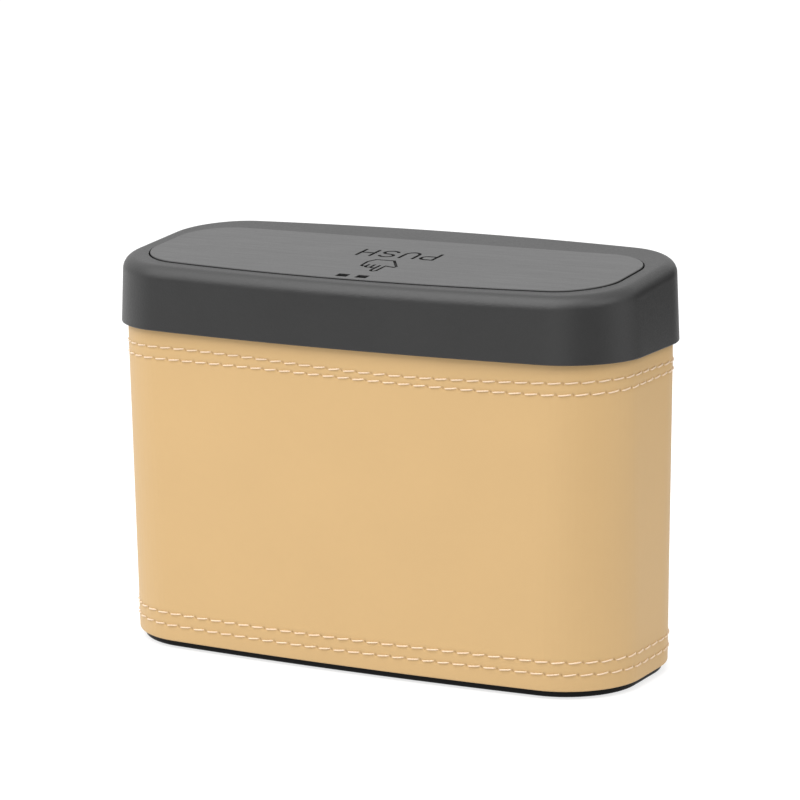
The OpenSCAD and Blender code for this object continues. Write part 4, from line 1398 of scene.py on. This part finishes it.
@dataclass
class Flap:
    """The push-open flap: plate, ribs, striker, hinge arms, mould holes and sunk marks."""

    fittings: CapFittings
    rib_places: tuple[float, ...] = (-64, -32, 32, 64)
    rib_height: float = 3.0
    rib: float = 1.4
    edge: float = 0.5
    rod_play: float = 0.07
    mark_depth: float = 0.8
    head_width: float = 12.6
    head_depth: float = 3.2
    head: float = 1.8
    neck_width: float = 2.8
    hole_width: float = 4.6
    hole_depth: float = 3.7
    hole_gap: float = 0.25
    hinge_gap: float = 0.5

    def plate(self) -> Draft:
        """Returns the plate, with an undercut edge that is rounded above."""
        f = self.fittings
        profile = [(4.0, f.under), (1.9, f.under), (1.7, f.under + 0.1), (0.2, f.face - 0.9)]
        profile += arc(self.edge, f.face - self.edge, self.edge, 180, 90, 6)
        profile += [(self.edge + 0.5, f.face)]
        return Draft().loft(f.flap_rings(profile))

    def ribs(self) -> list[Draft]:
        """Returns the ribs under the plate."""
        f = self.fittings
        inset = f.ledge_width + 1.2
        low = f.under - self.rib_height
        profile = [(inset, low), (inset, f.under + 0.3), (inset + self.rib, f.under + 0.3), (inset + self.rib, low)]
        piece = Piece("rib_loop", Draft().loft(f.flap_rings(profile), closed=True))
        clear = f.housing_half_w + 1
        gate = Draft().block((f.latch.x - clear, f.front, low - 5), (f.latch.x + clear, f.front + 14, f.under + 5))
        drafts = [piece.change(Join.CUT, [gate]).undo()]
        front, back = f.front + inset + 0.4, f.rear - inset - 0.4
        top = low + 1 + self.rib_height
        for x in self.rib_places:
            rib = Draft().block((x - self.rib / 2, front + 4, low + 1), (x + self.rib / 2, back, top))
            drafts.append(rib.leaning(f.slope))
        half = f.flap_width / 2 - inset - 1
        for y in (front + 16, back - 16):
            drafts.append(Draft().block((-half, y, low + 1), (half, y + self.rib, top)).leaning(f.slope))
        return drafts

    def striker(self) -> list[Draft]:
        """Returns the neck and cross head that the latch grips."""
        f = self.fittings
        top = f.striker_top
        low = top - self.head
        half_d, half_w = self.head_depth / 2, self.head_width / 2
        x, y, half_n = f.latch.x, f.latch.y, self.neck_width / 2
        root = f.under + f.slope * y + 0.4
        neck = Draft().block((x - half_n, y - half_d, top - 0.2), (x + half_n, y + half_d, root))
        half = [(half_w, top), (half_w, low + 0.8), (half_w - 1.2, low)]
        outline = [(x - a, b) for a, b in half] + [(x + a, b) for a, b in reversed(half)]
        return [neck, Draft().prism(outline, Axis.Y, y - half_d, y + half_d)]

    def arm(self, x: float) -> list[Draft]:
        """Returns one hinge arm: eye on the rod, hook under the rear strip and root in the plate.

        Args:
            x: Place of its middle along the rod.

        Returns:
            The hook and the eye, each closed.
        """
        f = self.fittings
        eye = f.rod_radius + 1.4
        r0 = math.hypot(f.hinge_back - self.hinge_gap, f.hinge_drop - f.proud) + 0.6
        r1 = r0 + 2
        root = f.hinge_drop - f.flap_thickness + 0.5
        outer = bend((0, 0), (r1, r1), 180 - math.degrees(math.asin(root / r1)), 225, 12)
        inner = bend((0, 0), (r0, r0), 238, 180 - math.degrees(math.asin(root / r0)), 12)
        hook = [(-3.6, -8.4), (-0.6, -6.6), (eye, -0.4), (0, 0.6), (-2.4, -0.9), (-3.2, -5.4)]
        turn = Matrix.Rotation(math.atan(f.slope), 2)
        turned = [turn @ Vector(point) for point in outer + hook + inner]
        outline = [(f.hinge.y + point.x, f.hinge.z + point.y) for point in turned]
        start, end = x - f.arm_width / 2, x + f.arm_width / 2
        eye_bar = Draft().cylinder((f.hinge.y, f.hinge.z), eye, Axis.X, start, end)
        return [Draft().prism(outline, Axis.X, start, end), eye_bar]

    def cuts(self) -> list[Draft]:
        """Returns what is cut out of the flap: the rod's bores, the mould holes and the marks."""
        f = self.fittings
        drafts = []
        for side in (-1, 1):
            start, end = side * f.arm_x - f.arm_width, side * f.arm_x + f.arm_width
            radius = f.rod_radius + self.rod_play
            drafts.append(Draft().cylinder((f.hinge.y, f.hinge.z), radius, Axis.X, start, end))
            half_w, half_d = self.hole_width / 2, self.hole_depth / 2
            x, y = f.latch.x + side * (self.neck_width / 2 + self.hole_gap + half_w), f.latch.y
            drafts.append(Draft().block((x - half_w, y - half_d, f.striker_top), (x + half_w, y + half_d, f.face + 1)))
        return drafts + PushMark().cutters(f.face, self.mark_depth, f.slope)

    def build(self) -> None:
        """Makes the flap in one piece."""
        f = self.fittings
        flap = Piece("flap_moulding", self.plate())
        flap.change(Join.ADD, [*self.ribs(), *self.striker(), *self.arm(-f.arm_x), *self.arm(f.arm_x)])
        flap.change(Join.CUT, self.cuts())
        # The flap's face, below which its sunk marks get painted shade.
        face = (f.face, f.slope)
        plastic = MouldedPlastic("flap_charcoal", (0.04, 0.04, 0.04), roughness=0.42, streaks=0.03, face=face)
        flap.dress(plastic.material()).place(Body.LID, Slot.FLAP, "flap")


@dataclass
class Hardware:
    """Feet, screws, hinge and latch parts, which keep the frame's own shapes and get their finishes here."""

    nodes: dict[str, bpy.types.Object]

    def build(self) -> None:
        """Gives each carried-over node its finish."""
        black = MouldedPlastic("latch_black", (0.035, 0.035, 0.036), roughness=0.4)
        finishes = {
            ZINC: ("base_screws", "latch_screws", "rod_clips"),
            DRAWN: ("hinge_rod", "latch_pin"),
            SPRING: ("torsion_spring_left", "torsion_spring_right", "latch_spring"),
            black: ("latch_housing", "latch_cover"),
            SLIPPERY: ("latch_plunger",),
            RUBBER: FEET,
        }
        for finish, names in finishes.items():
            material = finish.material()
            for name in names:
                node = self.nodes[name]
                if not node.material_slots:
                    node.data.materials.append(material)
                for slot in node.material_slots:
                    slot.material = material
                LOG.info("%s: %s", name, material.name)


@dataclass
class Studio:
    """Pale floor, white surroundings, soft lights, dark cards and the camera."""

    azimuth: float = 28.362
    elevation: float = 12.238
    roll: float = -0.593
    distance: float = 1297.972
    focal_px: float = 3521.085
    centre_px: Flat = (396.679, 452.161)
    frame_px: float = 800.0
    target_z: float = 75.0
    sensor: float = 36.0
    world: float = 1.0
    floor_size: Flat = (12.0, 12.0)
    floor_tone: float = 0.35
    floor_glow: float = 0.72

    def camera(self) -> None:
        """Makes the camera that the photograph's outlines were fitted with."""
        turn, tilt, roll = (math.radians(v) for v in (self.azimuth, self.elevation, self.roll))
        back = Vector((math.sin(turn) * math.cos(tilt), -math.cos(turn) * math.cos(tilt), math.sin(tilt)))
        level = Vector((math.cos(turn), math.sin(turn), 0))
        upright = back.cross(level)
        right = level * math.cos(roll) + upright * math.sin(roll)
        up = upright * math.cos(roll) - level * math.sin(roll)
        eye = (Vector((0, 0, self.target_z)) + back * self.distance) * MM
        data = bpy.data.cameras.new("camera")
        data.sensor_width = self.sensor
        data.lens = self.focal_px / self.frame_px * data.sensor_width
        data.shift_x = (self.frame_px / 2 - self.centre_px[0]) / self.frame_px
        data.shift_y = (self.centre_px[1] - self.frame_px / 2) / self.frame_px
        data.clip_start, data.clip_end = 0.05, 30
        camera = bpy.data.objects.new("camera", data)
        camera.matrix_world = Matrix.Translation(eye) @ Matrix((right, up, back)).transposed().to_4x4()
        bpy.context.scene.collection.objects.link(camera)
        bpy.context.scene.camera = camera

    def area(self, name: str, place: Sequence[float], target: Sequence[float], size: Flat, power: float) -> None:
        """Makes a soft rectangular light.

        Args:
            name: The light's name.
            place: Where it hangs, in metres.
            target: Where it points, in metres.
            size: Its width and height in metres.
            power: Its power in watts.
        """
        data = bpy.data.lights.new(name, "AREA")
        data.shape = "RECTANGLE"
        data.size, data.size_y = size
        data.energy = power
        light = bpy.data.objects.new(name, data)
        bpy.context.scene.collection.objects.link(light)
        self.aim(light, place, target, "-Z")

    def aim(self, thing: bpy.types.Object, place: Sequence[float], target: Sequence[float], face: str) -> None:
        """Puts a light or a card in its place, out of the camera's sight.

        Args:
            thing: The light or card.
            place: Where it goes, in metres.
            target: Where it faces, in metres.
            face: Its axis that turns to the target.
        """
        thing.location = place
        thing.rotation_euler = (Vector(target) - Vector(place)).to_track_quat(face, "Y").to_euler()
        thing.visible_camera = False

    def panel(self, name: str, size: Flat, material: bpy.types.Material) -> bpy.types.Object:
        """Makes a level panel, which isn't part of the bin.

        Args:
            name: The panel's name.
            size: Its width and height in metres.
            material: Its material.

        Returns:
            The panel.
        """
        half_w, half_h = size[0] / 2, size[1] / 2
        corners = [(-half_w, -half_h, 0), (half_w, -half_h, 0), (half_w, half_h, 0), (-half_w, half_h, 0)]
        mesh = bpy.data.meshes.new(name)
        mesh.from_pydata(corners, [], [(0, 1, 2, 3)])
        mesh.materials.append(material)
        panel = bpy.data.objects.new(name, mesh)
        bpy.context.scene.collection.objects.link(panel)
        return panel

    def card(self, name: str, place: Sequence[float], target: Sequence[float], size: Flat, tone: float) -> None:
        """Makes a plain card of one size and grey tone, which faces a target and dims what it is reflected in."""
        matt = Sheet(name).shade(base_color=(tone, tone, tone), roughness=1.0, specular_ior_level=0.0)
        self.aim(self.panel(name, size, matt), place, target, "Z")

    def paper(self) -> bpy.types.Material:
        """Returns the floor's material: white paper, lit a little from below so that it stays white."""
        tone = self.floor_tone
        return Sheet("floor").shade(
            base_color=(tone, tone, tone),
            roughness=0.9,
            specular_ior_level=0.0,
            emission_color=(1, 1, 1),
            emission_strength=self.floor_glow,
        )

    def build(self) -> None:
        """Makes the floor, the surroundings, the lights and the camera."""
        scene = bpy.context.scene
        scene.view_settings.view_transform = "Standard"
        world = bpy.data.worlds.new("surroundings")
        world.use_nodes = True
        background = world.node_tree.nodes["Background"]
        background.inputs["Color"].default_value = (1, 1, 1, 1)
        background.inputs["Strength"].default_value = self.world
        scene.world = world
        self.panel("floor", self.floor_size, self.paper())
        self.area("overhead", (-0.2, -0.45, 1.05), (-0.05, 0, 0.1), (1.3, 1.3), 17)
        self.area("right", (0.9, -0.2, 0.8), (0.1, 0, 0.06), (0.5, 0.5), 3)
        self.card("side_card", (0.5, -0.3, 0.12), (0, 0, 0.1), (0.5, 0.5), 0.01)
        self.card("front_card", (-0.45, -0.85, 0.1), (0, 0, 0.1), (0.9, 0.5), 0.02)
        self.card("rear_card", (0.4, 0.5, 0.12), (0.1, 0, 0.1), (0.6, 0.5), 0.02)
        self.camera()


def main() -> None:
    """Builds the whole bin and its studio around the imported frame."""
    logging.basicConfig(level=logging.INFO, format="%(name)s %(message)s")
    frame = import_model()
    Studio().build()
    envelope = Envelope.from_frame()
    hinge = next(joint for joint in frame["joints"] if joint["name"] == "flap_hinge")
    fittings = CapFittings(envelope, hinge=Vector(hinge["pos_m"]) / MM)
    LeatherSleeve(envelope).build()
    Bucket(envelope).build()
    Cap(fittings).build()
    Flap(fittings).build()
    Hardware(frame["nodes"]).build()
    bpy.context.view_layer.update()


if __name__ == "__main__":
    main()
